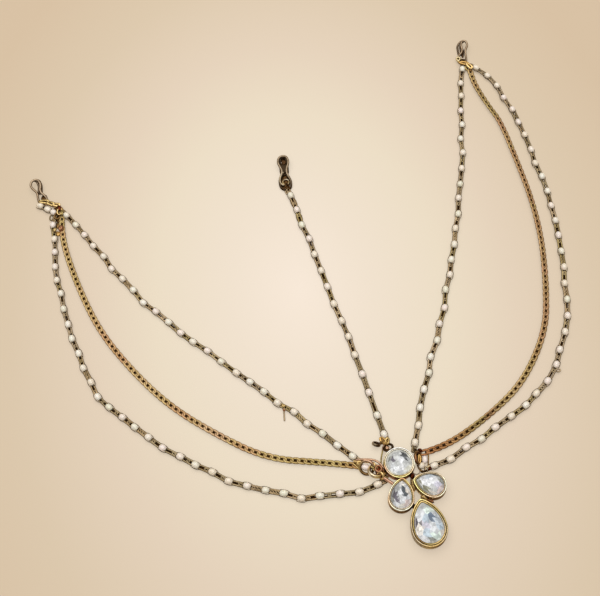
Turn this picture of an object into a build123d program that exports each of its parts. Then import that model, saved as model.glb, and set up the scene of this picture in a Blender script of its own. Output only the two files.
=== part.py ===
from build123d import *
import math
import os

# Head chain (maang tikka) lying flat: a soldered pendant of four bezel-set
# stones, five pearl strands, two curb chains and three hairpin wire hooks.
# Millimetres, +Z up.  The origin is the centre of the round setting's flat
# back, which lies on the surface z = 0.  +Y runs from the pendant towards the
# hooks, +X to the right of it.

os.makedirs("parts", exist_ok=True)

# ---------------------------------------------------------------- dimensions
BACK_T = 1.2            # thickness of the closed backs
RIM_H = 4.8             # height of the rims above the surface
RIM_W = 0.65            # width of a rim, from its outside to the stone
SEAT_GAP = 0.05         # play between a stone and its bezel
SEAT_T = 0.3            # depth of metal left under a stone's point
FLANGE = 0.35           # how far a back plate stands out past its rim
GROOVE = 0.20           # how far the grooves lie inside the rim
BAND = 0.15             # how far the middle band stands out past the rim
STONE_GIRDLE_Z = 4.25   # height of a stone's widest line
ROUND_R = 6.2           # outside radius of the round setting's rim
CROWN_H = 1.35          # crown of a stone above its girdle

PEARL_D = 2.9           # outside of a pearl strand
CURB_D = 2.4            # mean outside of a curb chain
HOOK_WIRE = 1.10        # wire of the hooks

# Pear settings: x, y of the centre of the round end, outside radius of the
# rim there, length tip to round end, and the tip's direction in degrees from
# +X.
PEARS = {
    #                x      y       radius length tip_dir
    "left_pear":   (-1.80, -14.60,  5.05,  13.3,  76.0),
    "right_pear":  (12.10, -11.25,  5.05,  13.4, 155.5),
    "large_pear":  ( 7.15, -28.25,  6.95,  19.2,  96.5),
}

# Routes of the strands on the surface: the corner points of each run, from
# the hook end to the pendant end.  Corners are rounded by arcs that take
# ARC_SHARE of the shorter of the two runs.
ARC_SHARE = 0.45
ROUTES = {
    "centre_pearl_strand": (PEARL_D, [
        (-28.1, 140.0), (-25.5, 127.8), (-20.2, 102.2), (-15.3, 76.3),
        (-9.9, 50.8), (-5.7, 24.8), (-3.7, 13.0)]),
    "left_inner_pearl_strand": (PEARL_D, [
        (-135.9, 145.0), (-130.3, 136.9), (-118.4, 117.2), (-105.7, 97.4),
        (-90.7, 79.3), (-74.0, 62.5), (-57.3, 45.6), (-40.5, 29.1),
        (-24.2, 12.3), (-18.6, 6.5)]),
    "left_outer_pearl_strand": (PEARL_D, [
        (-149.4, 152.7), (-142.2, 149.2), (-143.1, 141.5), (-142.9, 132.0),
        (-142.2, 114.1),
        (-139.1, 96.8), (-135.3, 79.7), (-129.9, 62.8), (-123.4, 46.7),
        (-109.9, 34.5), (-97.8, 22.0), (-83.0, 12.0), (-69.1, 2.5),
        (-51.1, -4.5), (-37.1, -8.8), (-16.6, -8.9), (-9.8, -6.9)]),
    "left_curb_chain": (CURB_D, [
        (-144.2, 153.5), (-140.8, 151.8), (-138.6, 147.4), (-139.1, 140.5),
        (-138.0, 127.5),
        (-131.3, 103.6), (-122.4, 80.7), (-109.2, 59.9), (-93.6, 40.6),
        (-75.0, 25.0), (-54.0, 10.7), (-30.4, 5.5), (-18.5, 2.4)]),
    "right_inner_pearl_strand": (PEARL_D, [
        (68.9, 196.9), (65.5, 186.3), (60.9, 161.4), (55.7, 136.9),
        (48.4, 112.4), (40.3, 88.5), (31.8, 64.7), (21.3, 42.0),
        (11.8, 18.6), (7.9, 7.6)]),
    "right_outer_pearl_strand": (PEARL_D, [
        (75.9, 197.3), (82.0, 190.2), (87.8, 167.6), (90.7, 145.9),
        (92.3, 123.6), (92.7, 101.4), (89.8, 79.2), (86.4, 57.4),
        (77.4, 36.4), (63.1, 19.9), (42.8, 9.6), (23.2, -0.7),
        (13.3, -2.9)]),
    "right_curb_chain": (CURB_D, [
        (70.3, 201.0), (72.8, 196.8), (72.7, 190.6), (74.0, 183.0),
        (77.0, 172.5), (80.6, 162.1),
        (82.8, 139.4), (84.6, 116.1), (83.8, 93.6), (79.7, 69.8),
        (74.2, 49.2), (59.6, 28.1), (42.7, 15.8), (21.0, 4.5),
        (10.8, 3.4)]),
}

# Jump rings: centre x, y, z, ring radius to the wire's centre, wire diameter,
# tilt about X, tilt about Y, turn about Z (degrees).
RINGS = {
    #                      x      y      z     radius wire  tilt_x tilt_y turn_z
    "top_ring":         (-7.80,   9.85,  1.70, 1.45, 0.75,  -55.0,   0.0, -27.0),
    "left_ring_outer":  (-13.40,  0.45,  2.35, 2.90, 1.30,   35.0,   0.0, -29.0),
    "left_ring_inner":  (-9.95,  -1.70,  2.35, 2.80, 1.50,  -30.0,   0.0, -29.0),
    "right_ring":       ( 8.20,   1.15,  2.75, 2.55, 1.05,    0.0,  60.0,  -8.0),
    "centre_hook_ring": (-28.80, 146.10, 0.62, 1.45, 0.90,    0.0,   0.0,   0.0),
}

# Hooks.  Each is one wire: the bow wire starts at the bottom of the eye, runs
# round one side of the eye, through the waist and round the bow, and comes
# back the same way on the other side; the return leg hangs from the top of
# the bow and runs back under it as a hairpin.  Each table has a row for each
# height along the hook: y along it, x of the left and the right side, and z.
HOOK_PLACE = {
    #               x        y      direction of the hook from +X, degrees
    "left_hook":   (-148.4, 153.6, 102.5),
    "centre_hook": (-29.1,  141.6,  87.5),
    "right_hook":  ( 70.6,  202.7,  80.5),
}
HOOK_BOW = {
    #    y left  x left   y right x right   z
    "left_hook": [
        (0.98,   0.80,    0.84,   1.20,   0.70),
        (2.00,  -1.30,    0.90,   2.90,   0.75),
        (4.60,  -1.15,    4.20,   2.75,   1.20),
        (7.10,  -0.62,    7.10,   0.66,   2.20),
        (11.5,  -2.95,    11.3,   2.20,   2.55),
        (14.7,  -1.90,    14.7,   1.20,   2.55)],
    "centre_hook": [
        (-0.30, -0.35,   -0.30,  -0.05,   0.70),
        (1.30,  -2.60,    0.70,   2.30,   0.75),
        (5.80,  -3.10,    4.60,   2.75,   1.20),
        (9.60,  -0.85,    9.60,   0.45,   2.20),
        (15.2,  -3.05,   14.9,    2.50,   2.55),
        (18.6,  -1.90,   18.6,    1.40,   2.55)],
    "right_hook": [
        (0.45,  -0.95,    0.37,  -0.60,   0.70),
        (0.80,  -2.90,    0.10,   1.50,   0.75),
        (3.10,  -2.55,    2.60,   1.45,   1.20),
        (5.70,  -0.20,    5.70,   0.92,   2.20),
        (9.60,  -1.05,    9.60,   2.35,   2.55),
        (12.2,  -0.35,   12.2,    1.55,   2.55)],
}
HOOK_RETURN = {
    #    y      x left  x right  z
    "left_hook": [
        (14.7,  -0.70,   0.15,   2.55),
        (14.5,   0.45,   1.80,   1.45),
        (12.0,   0.80,   2.10,   0.58),
        (7.40,  -0.40,   1.15,   0.58)],
    "centre_hook": [
        (18.6,  -0.65,   0.15,   2.55),
        (18.2,  -1.55,   1.15,   1.45),
        (15.8,  -1.95,   1.60,   0.58),
        (8.90,  -1.85,   1.50,   0.58)],
    "right_hook": [
        (12.2,   0.20,   1.00,   2.55),
        (12.1,  -1.55,  -0.45,   1.45),
        (10.2,  -2.70,  -1.20,   0.58),
        (4.80,  -2.20,  -0.70,   0.58)],
}
LEAF_T = 0.45           # the leaf that closes the centre hook's wide return leg


def write(shape, name):
    solids = shape.solids()
    print(f"{name:26s} solids {len(solids)}  volume {shape.volume:9.2f} mm3")
    export_step(solids[0] if len(solids) == 1 else shape,
                os.path.join("parts", name + ".step"))


# ------------------------------------------------------------------- outlines
def pear_face(x, y, radius, length, tip_dir, grow=0.0, tip_round=0.7):
    """Pear outline: a half circle at the round end and two equal arcs that
    leave it smoothly and meet at a rounded tip."""
    r = radius + grow
    tip = (length - radius) + grow * 1.25
    k = (tip * tip - r * r) / (2 * r)          # centres of the side arcs lie at +-k
    side = k + r
    # a point on the right-hand side arc half way up
    half = math.asin(tip / side) / 2
    mid = (side * math.cos(half) - k, side * math.sin(half))
    with BuildSketch() as sk:
        with BuildLine():
            ThreePointArc((-r, 0), (0, -r), (r, 0))
            ThreePointArc((r, 0), mid, (0, tip))
            ThreePointArc((0, tip), (-mid[0], mid[1]), (-r, 0))
        make_face()
        top = sk.vertices().sort_by(Axis.Y)[-1]
        fillet(top, max(0.35, tip_round + grow * 0.5))
    face = sk.sketch
    return Pos(x, y, 0) * Rot(0, 0, tip_dir - 90) * face


def round_face(radius, grow=0.0):
    return Sketch() + Circle(radius + grow)


def setting(outline):
    """Closed-back bezel.  From the foot up: a back plate that stands out, a
    groove, a rounded band, a second groove, and the rim; inside, a seat that
    the stone stands in."""
    def at(grow, z):
        return Pos(0, 0, z) * outline(grow)

    foot = extrude(outline(FLANGE), 0.85) + loft(
        [at(FLANGE, 0.85), at(0.0, 1.25)], ruled=True)
    wall = extrude(outline(-GROOVE), RIM_H - 0.1)
    band = (loft([at(-GROOVE, 1.95), at(BAND, 2.35)], ruled=True)
            + extrude(at(BAND, 2.35), 0.75)
            + loft([at(BAND, 3.10), at(-GROOVE, 3.50)], ruled=True))
    rim = extrude(at(0.0, 4.05), RIM_H - 4.05)
    outer = rim.edges().group_by(Axis.Z)[-1]
    rim = fillet(outer, 0.30)
    body = foot + wall + band + rim
    body = body - extrude(at(-RIM_W, BACK_T), RIM_H)
    return body


# --------------------------------------------------------------------- stones
def stone(outline_at):
    """Stone with a flat table, a sloping crown, a thin girdle and a pavilion
    that narrows to a small flat under it."""
    z_g = STONE_GIRDLE_Z
    grow_g = -(RIM_W + SEAT_GAP)
    crown = loft([outline_at(grow_g, z_g + 0.15),
                  outline_at(grow_g - 2.1, z_g + 0.15 + CROWN_H)], ruled=True)
    girdle = extrude(outline_at(grow_g, z_g), 0.15)
    pavilion = loft([outline_at(grow_g - 2.4, BACK_T + SEAT_T),
                     outline_at(grow_g, z_g)], ruled=True)
    return pavilion + girdle + crown


# ------------------------------------------------------------------ the frame
def outline_of(name):
    if name == "round":
        return lambda g: round_face(ROUND_R, g)
    x, y, r, length, d = PEARS[name]
    return lambda g: pear_face(x, y, r, length, d, g)


frame = None
for key in ("round", "left_pear", "right_pear", "large_pear"):
    body = setting(outline_of(key))
    frame = body if frame is None else frame + body

# solder joints: low fillets of metal where two settings meet
SOLDER = [
    #  x       y      radius height
    (0.05,   -6.95,  1.25,  3.4),    # round to left pear
    (4.65,   -5.85,  1.30,  3.6),    # round to right pear's tip
    (3.75,   -9.60,  1.00,  3.2),    # left pear to right pear
    (3.40,  -18.10,  1.05,  3.2),    # left pear to large pear
    (7.10,  -16.30,  1.35,  3.4),    # right pear to large pear
]
for x, y, r, h in SOLDER:
    blob = Pos(x, y, h / 2) * Cylinder(r, h)
    top = blob.edges().filter_by(GeomType.CIRCLE).sort_by(Axis.Z)[-1:]
    frame = frame + fillet(top, r * 0.75)


def ring(radius, wire, x, y, z, tilt_x=0.0, tilt_y=0.0, turn_z=0.0):
    return (Pos(x, y, z) * Rot(0, 0, turn_z) * Rot(tilt_x, tilt_y, 0)
            * Torus(radius, wire / 2))


# loop soldered at the top left of the round setting, leaning outwards
LOOP_R, LOOP_WIRE = 1.85, 1.05
frame = frame + ring(LOOP_R, LOOP_WIRE, -3.15, 7.50, 2.30,
                     tilt_x=-30.0, turn_z=18.0)
# small loop at the left, threaded on the inner left ring, and the bar that
# joins it to the left pear.  It stands square to the ring's wire at an angle
# SIDE_AT round the ring.
SIDE_LOOP_R, SIDE_LOOP_WIRE, SIDE_AT = 1.45, 0.95, -25.0
SIDE_BAR_D = 1.30
SIDE_BAR_END = (-2.6, -9.0, 2.05)
rx, ry, rz, rr, rw, rtx, rty, rtz = RINGS["left_ring_inner"]
ring_place = Pos(rx, ry, rz) * Rot(0, 0, rtz) * Rot(rtx, rty, 0)
loop_place = (ring_place * Rot(0, 0, SIDE_AT) * Pos(rr, 0, 0)
              * Rot(90, 0, 0))
frame = frame + loop_place * Torus(SIDE_LOOP_R, SIDE_LOOP_WIRE / 2)
bar_start = (loop_place * Pos(SIDE_LOOP_R, 0, 0)).position
bar_line = Line(bar_start, Vector(*SIDE_BAR_END))
bar = sweep(Plane(origin=bar_line @ 0, z_dir=bar_line % 0)
            * Circle(SIDE_BAR_D / 2), path=bar_line)
frame = frame + bar + Pos(bar_start) * Sphere(SIDE_BAR_D / 2)
write(frame, "setting_frame")

# -------------------------------------------------------------- the stones
for key in ("round", "left_pear", "right_pear", "large_pear"):
    base = outline_of(key)

    def at(g, z, base=base):
        return Pos(0, 0, z) * base(g)

    write(stone(at), key + "_stone")

# ---------------------------------------------------------------- jump rings
TOP_RING_DISC = 0.35    # the disc that closes the top ring's back

for name, (x, y, z, r, w, tx, ty, tz) in RINGS.items():
    shape = ring(r, w, x, y, z, tx, ty, tz)
    if name == "top_ring":
        shape = shape + (Pos(x, y, z) * Rot(0, 0, tz) * Rot(tx, ty, 0)
                         * Pos(0, 0, -0.15) * Cylinder(r, TOP_RING_DISC))
    write(shape, name)


# ------------------------------------------------------------- wires, strands
def corner_radii(pts, share=ARC_SHARE):
    radii = []
    for a, b, c in zip(pts, pts[1:], pts[2:]):
        u, v = Vector(*b) - Vector(*a), Vector(*c) - Vector(*b)
        turn = u.get_angle(v)
        radii.append(share * min(u.length, v.length)
                     / math.tan(math.radians(turn) / 2))
    return radii


def wire_tube(pts, diameter, share=ARC_SHARE):
    """Round wire or strand along straight runs joined by tangent arcs."""
    radii = corner_radii(pts, share)
    path = FilletPolyline(*[Vector(*p) for p in pts], radius=radii)
    start = Plane(origin=path @ 0, z_dir=path % 0)
    tube = sweep(start * Circle(diameter / 2), path=path)
    return tube, radii, path.length


for name, (dia, pts) in ROUTES.items():
    pts3 = [(x, y, dia / 2) for x, y in pts]
    tube, radii, length = wire_tube(pts3, dia)
    write(tube, name)
    print(f"    length {length:6.1f} mm  section x length "
          f"{math.pi * dia * dia / 4 * length:8.1f} mm3  radii "
          + " ".join(f"{r:.0f}" for r in radii))


for name, (x, y, d) in HOOK_PLACE.items():
    rows = HOOK_BOW[name]
    pts = [(xl, yl, z) for yl, xl, yr, xr, z in rows]
    pts += [(xr, yr, z) for yl, xl, yr, xr, z in rows][::-1]
    bow, radii, total = wire_tube(pts, HOOK_WIRE, share=0.47)
    rows = HOOK_RETURN[name]
    leg_pts = [(xl, yy, z) for yy, xl, xr, z in rows]
    leg_pts += [(xr, yy, z) for yy, xl, xr, z in rows][::-1]
    leg, leg_radii, leg_total = wire_tube(leg_pts, HOOK_WIRE, share=0.47)
    hook = bow + leg
    if name == "centre_hook":
        low, high = rows[3], rows[2]
        leaf = Polyline((low[1], low[0] + 1.2), (low[2], low[0] + 1.2),
                        (high[2], high[0]), (high[1], high[0]), close=True)
        hook = hook + Pos(0, 0, low[3] - LEAF_T / 2) * extrude(
            make_face(leaf), LEAF_T)
    write(Pos(x, y, 0) * Rot(0, 0, d - 90) * hook, name)
    print("    wire length %.1f + %.1f mm, radii " % (total, leg_total)
          + " ".join(f"{r:.1f}" for r in radii) + " | "
          + " ".join(f"{r:.1f}" for r in leg_radii))
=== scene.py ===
import bmesh
import bpy
import math
import random
import numpy as np
from mathutils import Matrix, Vector


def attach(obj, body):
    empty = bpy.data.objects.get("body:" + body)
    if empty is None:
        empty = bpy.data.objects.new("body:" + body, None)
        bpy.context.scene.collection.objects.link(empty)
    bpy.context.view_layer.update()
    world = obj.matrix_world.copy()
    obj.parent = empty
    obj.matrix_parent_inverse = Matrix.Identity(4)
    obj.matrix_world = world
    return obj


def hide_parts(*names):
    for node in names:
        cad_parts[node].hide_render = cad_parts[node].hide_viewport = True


# Looks of the head chain: pearls set in wire links, flat curb chains, faceted
# stones, small rings and links at the joints.  Metres, the CAD frame.

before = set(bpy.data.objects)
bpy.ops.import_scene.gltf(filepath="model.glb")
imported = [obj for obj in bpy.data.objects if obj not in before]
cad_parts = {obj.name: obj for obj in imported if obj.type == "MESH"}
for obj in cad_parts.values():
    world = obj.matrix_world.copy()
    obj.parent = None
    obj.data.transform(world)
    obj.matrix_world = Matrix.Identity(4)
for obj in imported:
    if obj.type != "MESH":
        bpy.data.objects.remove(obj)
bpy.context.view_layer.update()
MM = 0.001
random.seed(11)

# --------------------------------------------------------------------- routes
# Corner points of each strand, in millimetres, as in the solids.
ROUTES = {
    "centre_pearl_strand": [
        (-28.1, 140.0), (-25.5, 127.8), (-20.2, 102.2), (-15.3, 76.3),
        (-9.9, 50.8), (-5.7, 24.8), (-3.7, 13.0)],
    "left_inner_pearl_strand": [
        (-135.9, 145.0), (-130.3, 136.9), (-118.4, 117.2), (-105.7, 97.4),
        (-90.7, 79.3), (-74.0, 62.5), (-57.3, 45.6), (-40.5, 29.1),
        (-24.2, 12.3), (-18.6, 6.5)],
    "left_outer_pearl_strand": [
        (-149.4, 152.7), (-142.2, 149.2), (-143.1, 141.5), (-142.9, 132.0),
        (-142.2, 114.1), (-139.1, 96.8), (-135.3, 79.7), (-129.9, 62.8),
        (-123.4, 46.7), (-109.9, 34.5), (-97.8, 22.0), (-83.0, 12.0),
        (-69.1, 2.5), (-51.1, -4.5), (-37.1, -8.8), (-16.6, -8.9),
        (-9.8, -6.9)],
    "left_curb_chain": [
        (-144.2, 153.5), (-140.8, 151.8), (-138.6, 147.4), (-139.1, 140.5),
        (-138.0, 127.5), (-131.3, 103.6), (-122.4, 80.7), (-109.2, 59.9),
        (-93.6, 40.6), (-75.0, 25.0), (-54.0, 10.7), (-30.4, 5.5),
        (-18.5, 2.4)],
    "right_inner_pearl_strand": [
        (68.9, 196.9), (65.5, 186.3), (60.9, 161.4), (55.7, 136.9),
        (48.4, 112.4), (40.3, 88.5), (31.8, 64.7), (21.3, 42.0),
        (11.8, 18.6), (7.9, 7.6)],
    "right_outer_pearl_strand": [
        (75.9, 197.3), (82.0, 190.2), (87.8, 167.6), (90.7, 145.9),
        (92.3, 123.6), (92.7, 101.4), (89.8, 79.2), (86.4, 57.4),
        (77.4, 36.4), (63.1, 19.9), (42.8, 9.6), (23.2, -0.7),
        (13.3, -2.9)],
    "right_curb_chain": [
        (70.3, 201.0), (72.8, 196.8), (72.7, 190.6), (74.0, 183.0),
        (77.0, 172.5), (80.6, 162.1), (82.8, 139.4), (84.6, 116.1),
        (83.8, 93.6), (79.7, 69.8), (74.2, 49.2), (59.6, 28.1),
        (42.7, 15.8), (21.0, 4.5), (10.8, 3.4)],
}
PEARL_Z, CURB_Z = 1.45, 1.15

# Pearls along each strand: distance from its hook end and sideways offset, mm.
PEARLS = {
    "centre_pearl_strand": [
        (2.3, .1), (11.0, .2), (19.8, -.4), (28.2, .4), (36.9, -.1),
        (46.0, 0), (54.8, 0), (64.0, -.2), (73.2, .2), (81.5, .3),
        (90.6, -.1), (100.2, 0), (109.1, 0), (119.9, 0), (128.7, 0)],
    "left_inner_pearl_strand": [
        (-0.6, -.3), (7.0, -.1), (14.5, -.1), (22.4, -.2), (30.5, .4),
        (38.5, -.5), (46.3, .3), (54.5, .4), (62.9, -.5), (70.6, .3),
        (78.9, .3), (86.9, -.2), (94.3, -.2), (102.4, .3), (110.7, 0),
        (119.5, -.1), (127.0, .1), (134.8, .1), (142.7, -.5), (151.0, .5),
        (158.7, -.3), (166.6, .2), (174.7, -.1), (182.6, 0)],
    "left_outer_pearl_strand": [
        (0.0, .3), (4.4, -.1), (7.9, .5), (14.9, -.2), (23.0, .4),
        (30.2, .2), (38.2, -.2), (45.5, -.3), (53.0, .3), (61.3, -.2),
        (69.7, 0), (77.3, -.3), (85.6, .3), (93.2, -.3), (101.2, .2),
        (109.0, -.4), (116.3, .2), (124.2, .1), (131.5, -.2), (139.4, 0),
        (147.4, -.2), (156.1, .2), (163.8, -.2), (171.7, .3), (179.7, -.4),
        (187.7, .1), (195.7, .1), (203.4, .3), (210.9, -.7), (218.5, .4),
        (226.8, .4), (234.8, -.4), (242.9, .1)],
    "right_inner_pearl_strand": [
        (-0.7, -.2), (8.4, -.3), (16.3, .2), (25.6, -.2), (34.1, .3),
        (42.5, -.5), (50.7, .5), (59.8, .1), (68.8, -.2), (76.7, -.4),
        (85.4, .3), (93.4, -.2), (101.9, .3), (110.1, -.1), (117.9, .3),
        (125.8, -.6), (134.8, .4), (143.0, -.3), (151.0, .5), (159.4, -.5),
        (166.9, .4), (174.8, -.2), (183.2, -.3), (191.1, .4), (198.8, .2)],
    "right_outer_pearl_strand": [
        (0.1, -.2), (7.6, .2), (15.3, .3), (23.5, -.4), (31.6, .4),
        (39.7, .1), (47.7, .2), (56.7, .2), (64.8, -.5), (72.7, .3),
        (81.2, .4), (89.2, -.1), (97.4, 0), (105.3, -.1), (113.7, .1),
        (121.9, .3), (130.1, -.4), (138.1, .1), (146.1, .4), (154.0, .1),
        (163.0, -.4), (170.2, .4), (178.9, .4), (186.5, -.3), (193.6, .1),
        (201.7, .1), (210.2, -.1), (218.1, .4), (225.5, -.5), (233.8, .4),
        (241.2, 0)],
}
PEARL_R, PEARL_HALF = 1.47, 1.84        # pearl's radius and half length
CURB_PITCH = 2.886

# Roll of each curb chain about its own line: distance along it, degrees.
CURB_ROLL = {
    "left_curb_chain": [(0, -10), (15, 5), (60, -6), (150, -10), (213, -4)],
    "right_curb_chain": [(0, 10), (20, -16), (110, -20), (170, -16),
                         (188, -14), (198, -34), (208, -34), (218, -8),
                         (236, 4)],
}
# How much redder and darker each is there, 0 to 1.
CURB_RED = {
    "left_curb_chain": [(0, 0.9), (7, 0.7), (14, 0.5), (24, 0.1), (150, 0.05),
                        (200, 0.25), (214, 0.8)],
    "right_curb_chain": [(0, 0.7), (12, 0.4), (30, 0.1), (120, 0.15),
                         (190, 0.2), (210, 0.5), (222, 0.9), (236, 1.0)],
}


class Rail:
    """The line of a strand, read from a curve with no thickness."""

    def __init__(self, name, z):
        cu = bpy.data.curves.new(name + "_line", "CURVE")
        cu.dimensions = "3D"
        sp = cu.splines.new("NURBS")
        pts = ROUTES[name]
        sp.points.add(len(pts) - 1)
        for p, (x, y) in zip(sp.points, pts):
            p.co = (x * MM, y * MM, z * MM, 1.0)
        sp.order_u = 3
        sp.use_endpoint_u = True
        sp.resolution_u = 48
        ob = bpy.data.objects.new(name + "_line", cu)
        bpy.context.scene.collection.objects.link(ob)
        bpy.context.view_layer.update()
        me = bpy.data.meshes.new_from_object(
            ob.evaluated_get(bpy.context.evaluated_depsgraph_get()))
        co = np.array([v.co[:] for v in me.vertices])
        bpy.data.objects.remove(ob)
        bpy.data.curves.remove(cu)
        bpy.data.meshes.remove(me)
        keep = np.r_[True, np.linalg.norm(np.diff(co, axis=0), axis=1) > 1e-7]
        self.p = co[keep]
        self.s = np.r_[0, np.cumsum(np.linalg.norm(np.diff(self.p, axis=0),
                                                   axis=1))]
        self.length = self.s[-1]

    def at(self, s):
        """Point and unit direction at distance s (metres); straight on past
        the ends."""
        s0 = min(max(s, 0.0), self.length)
        q = np.array([np.interp(s0, self.s, self.p[:, k]) for k in range(3)])
        a = max(s0 - 0.0006, 0.0)
        b = min(s0 + 0.0006, self.length)
        pa = np.array([np.interp(a, self.s, self.p[:, k]) for k in range(3)])
        pb = np.array([np.interp(b, self.s, self.p[:, k]) for k in range(3)])
        t = (pb - pa) / np.linalg.norm(pb - pa)
        return q + t * (s - s0), t

    def place(self, s, side=0.0, z=None, roll=0.0, yaw=0.0, pitch=0.0):
        """Matrix with X along the strand at s mm, Y to its left, Z up."""
        q, t = self.at(s * MM)
        ang = math.atan2(t[1], t[0])
        left = np.array([-math.sin(ang), math.cos(ang), 0.0])
        q = q + left * side * MM
        if z is not None:
            q[2] = z * MM
        return (Matrix.Translation(Vector(q))
                @ Matrix.Rotation(ang + math.radians(yaw), 4, "Z")
                @ Matrix.Rotation(math.radians(pitch), 4, "Y")
                @ Matrix.Rotation(math.radians(roll), 4, "X"))


# --------------------------------------------------------------- mesh building
class Bag:
    """Collects many small closed meshes into one object."""

    def __init__(self):
        self.v, self.f, self.m, self.tint, self.low = [], [], [], [], []
        self.tone = []
        self.n = 0

    def add(self, verts, quads, mat, tint, place=None, low=None, tone=None):
        v = np.asarray(verts, float)
        if place is not None:
            m = np.array(place)
            v = v * MM @ m[:3, :3].T + m[:3, 3]
        else:
            v = v * MM
        self.v.append(v)
        self.f.append(np.asarray(quads) + self.n)
        self.m.append(np.full(len(quads), mat))
        self.tint.append(np.full(len(v), tint))
        self.low.append(np.zeros(len(v)) if low is None
                        else np.asarray(low, float))
        c = np.ones((len(v), 4))
        if tone is not None:
            c[:, :3] = tone
        self.tone.append(c)
        self.n += len(v)

    def build(self, name, materials, smooth=True):
        v = np.concatenate(self.v)
        f = np.concatenate(self.f)
        me = bpy.data.meshes.new(name)
        me.vertices.add(len(v))
        me.vertices.foreach_set("co", v.astype(np.float32).ravel())
        k = f.shape[1]
        me.loops.add(len(f) * k)
        me.loops.foreach_set("vertex_index", f.astype(np.int32).ravel())
        me.polygons.add(len(f))
        me.polygons.foreach_set("loop_start",
                                (np.arange(len(f)) * k).astype(np.int32))
        me.polygons.foreach_set("material_index",
                                np.concatenate(self.m).astype(np.int32))
        me.update(calc_edges=True)
        me.validate()
        me.polygons.foreach_set("use_smooth", [smooth] * len(me.polygons))
        for nm, arr in (("tint", self.tint), ("low", self.low)):
            at = me.attributes.new(nm, "FLOAT", "POINT")
            at.data.foreach_set("value",
                                np.concatenate(arr).astype(np.float32))
        at = me.attributes.new("tone", "FLOAT_COLOR", "POINT")
        at.data.foreach_set("color",
                            np.concatenate(self.tone).astype(np.float32).ravel())
        for m in materials:
            me.materials.append(m)
        ob = bpy.data.objects.new(name, me)
        bpy.context.scene.collection.objects.link(ob)
        return ob


def grid_faces(n, m, close_n=True, close_m=True):
    i = np.arange(n if close_n else n - 1)
    j = np.arange(m if close_m else m - 1)
    a, b = np.meshgrid(i, j, indexing="ij")
    a, b = a.ravel(), b.ravel()
    a2, b2 = (a + 1) % n, (b + 1) % m
    return np.stack([a * m + b, a2 * m + b, a2 * m + b2, a * m + b2], 1)


def tube(centre, rx, rz, m=8, up=(0, 0, 1), closed=True, power=1.0):
    """Tube round a line: rx is its half width across, rz its half height;
    either may be a list.  Open tubes end in caps that close to a point."""
    c = np.asarray(centre, float)
    n = len(c)
    if closed:
        t = np.roll(c, -1, 0) - np.roll(c, 1, 0)
    else:
        t = np.gradient(c, axis=0)
    t /= np.linalg.norm(t, axis=1)[:, None]
    u = np.asarray(up, float)
    n1 = np.cross(np.broadcast_to(u, t.shape), t)
    bad = np.linalg.norm(n1, axis=1) < 1e-3
    n1[bad] = (1, 0, 0)
    n1 /= np.linalg.norm(n1, axis=1)[:, None]
    n2 = np.cross(t, n1)
    rx = np.broadcast_to(np.asarray(rx, float), (n,))
    rz = np.broadcast_to(np.asarray(rz, float), (n,))
    a = np.arange(m) * 2 * math.pi / m + math.pi / m
    ca, sa = np.cos(a), np.sin(a)
    ca = np.sign(ca) * np.abs(ca) ** power
    sa = np.sign(sa) * np.abs(sa) ** power
    v = (c[:, None, :] + n1[:, None, :] * (rx[:, None] * ca)[:, :, None]
         + n2[:, None, :] * (rz[:, None] * sa)[:, :, None])
    v = v.reshape(-1, 3)
    f = grid_faces(n, m, close_n=closed)
    if not closed:
        # round the ends off
        k0 = len(v)
        v = np.concatenate([v, c[:1] - t[:1] * rx[0] * .3,
                            c[-1:] + t[-1:] * rx[-1] * .3])
        j = np.arange(m)
        cap0 = np.stack([np.full(m, k0), j, (j + 1) % m, (j + 1) % m], 1)
        e = (n - 1) * m
        cap1 = np.stack([np.full(m, k0 + 1), e + (j + 1) % m, e + j, e + j], 1)
        return v, f, np.concatenate([cap0, cap1])
    return v, f, None


def add_tube(bag, centre, rx, rz, mat, tint, place=None, m=8, up=(0, 0, 1),
             closed=True, power=1.0, low=None, tone=None):
    v, f, caps = tube(centre, rx, rz, m, up, closed, power)
    lw = None
    if low is not None:
        lw = np.repeat(np.asarray(low, float), m)
        if caps is not None:
            lw = np.r_[lw, low[0], low[-1]]
    if caps is None:
        bag.add(v, f, mat, tint, place, lw, tone)
    else:
        # caps as quads whose last two corners are one would be degenerate, so
        # each is split off a ring of half quads
        tri = caps[:, :3]
        mid = (v[tri[:, 1]] + v[tri[:, 2]]) / 2
        k = len(v)
        v = np.concatenate([v, mid])
        mids = k + np.arange(len(tri))
        mm = m
        quads = []
        for block in (0, 1):
            for q in range(mm):
                i = block * mm + q
                i2 = block * mm + (q + (1 if block == 0 else 1)) % mm
                if block == 0:
                    quads.append((tri[i, 0], mids[i], tri[i, 2], mids[i2]))
                else:
                    quads.append((tri[i, 0], mids[i2], tri[i, 1], mids[i]))
        f = np.concatenate([f, np.array(quads)])
        if lw is not None:
            lw = np.r_[lw, np.zeros(len(mid))]
        bag.add(v, f, mat, tint, place, lw, tone)


def curb_link(bag, mat, tint, place, half=1.88, wide=0.96, twist=0.24,
              wire=0.54, end_wire=0.52, n=28, m=8, flat=0.90, press=0.50,
              tone=None):
    """Twisted oval link of a curb chain, X along the chain, pressed so that
    its top and bottom are flatter than its wire."""
    t = np.arange(n) * 2 * math.pi / n
    ct, st = np.cos(t), np.sin(t)
    x = half * np.sign(ct) * np.abs(ct) ** 0.85
    y = wide * np.sign(st) * np.abs(st) ** 0.80
    z = twist * np.sin(2 * t)
    c = np.stack([x, y, z], 1)
    side = np.abs(st) ** 1.5
    rx = end_wire + (wire - end_wire) * side
    # painted shade where the twisted wire dips low, under its neighbour
    low = np.clip(-np.sin(2 * t), 0, 1)
    v, f, _ = tube(c, rx, rx * flat, m)
    v[:, 2] = press * np.tanh(v[:, 2] / press)
    bag.add(v, f, mat, tint, place, np.repeat(low, m),
            GOLD_TONES[tone] if tone else None)


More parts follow.
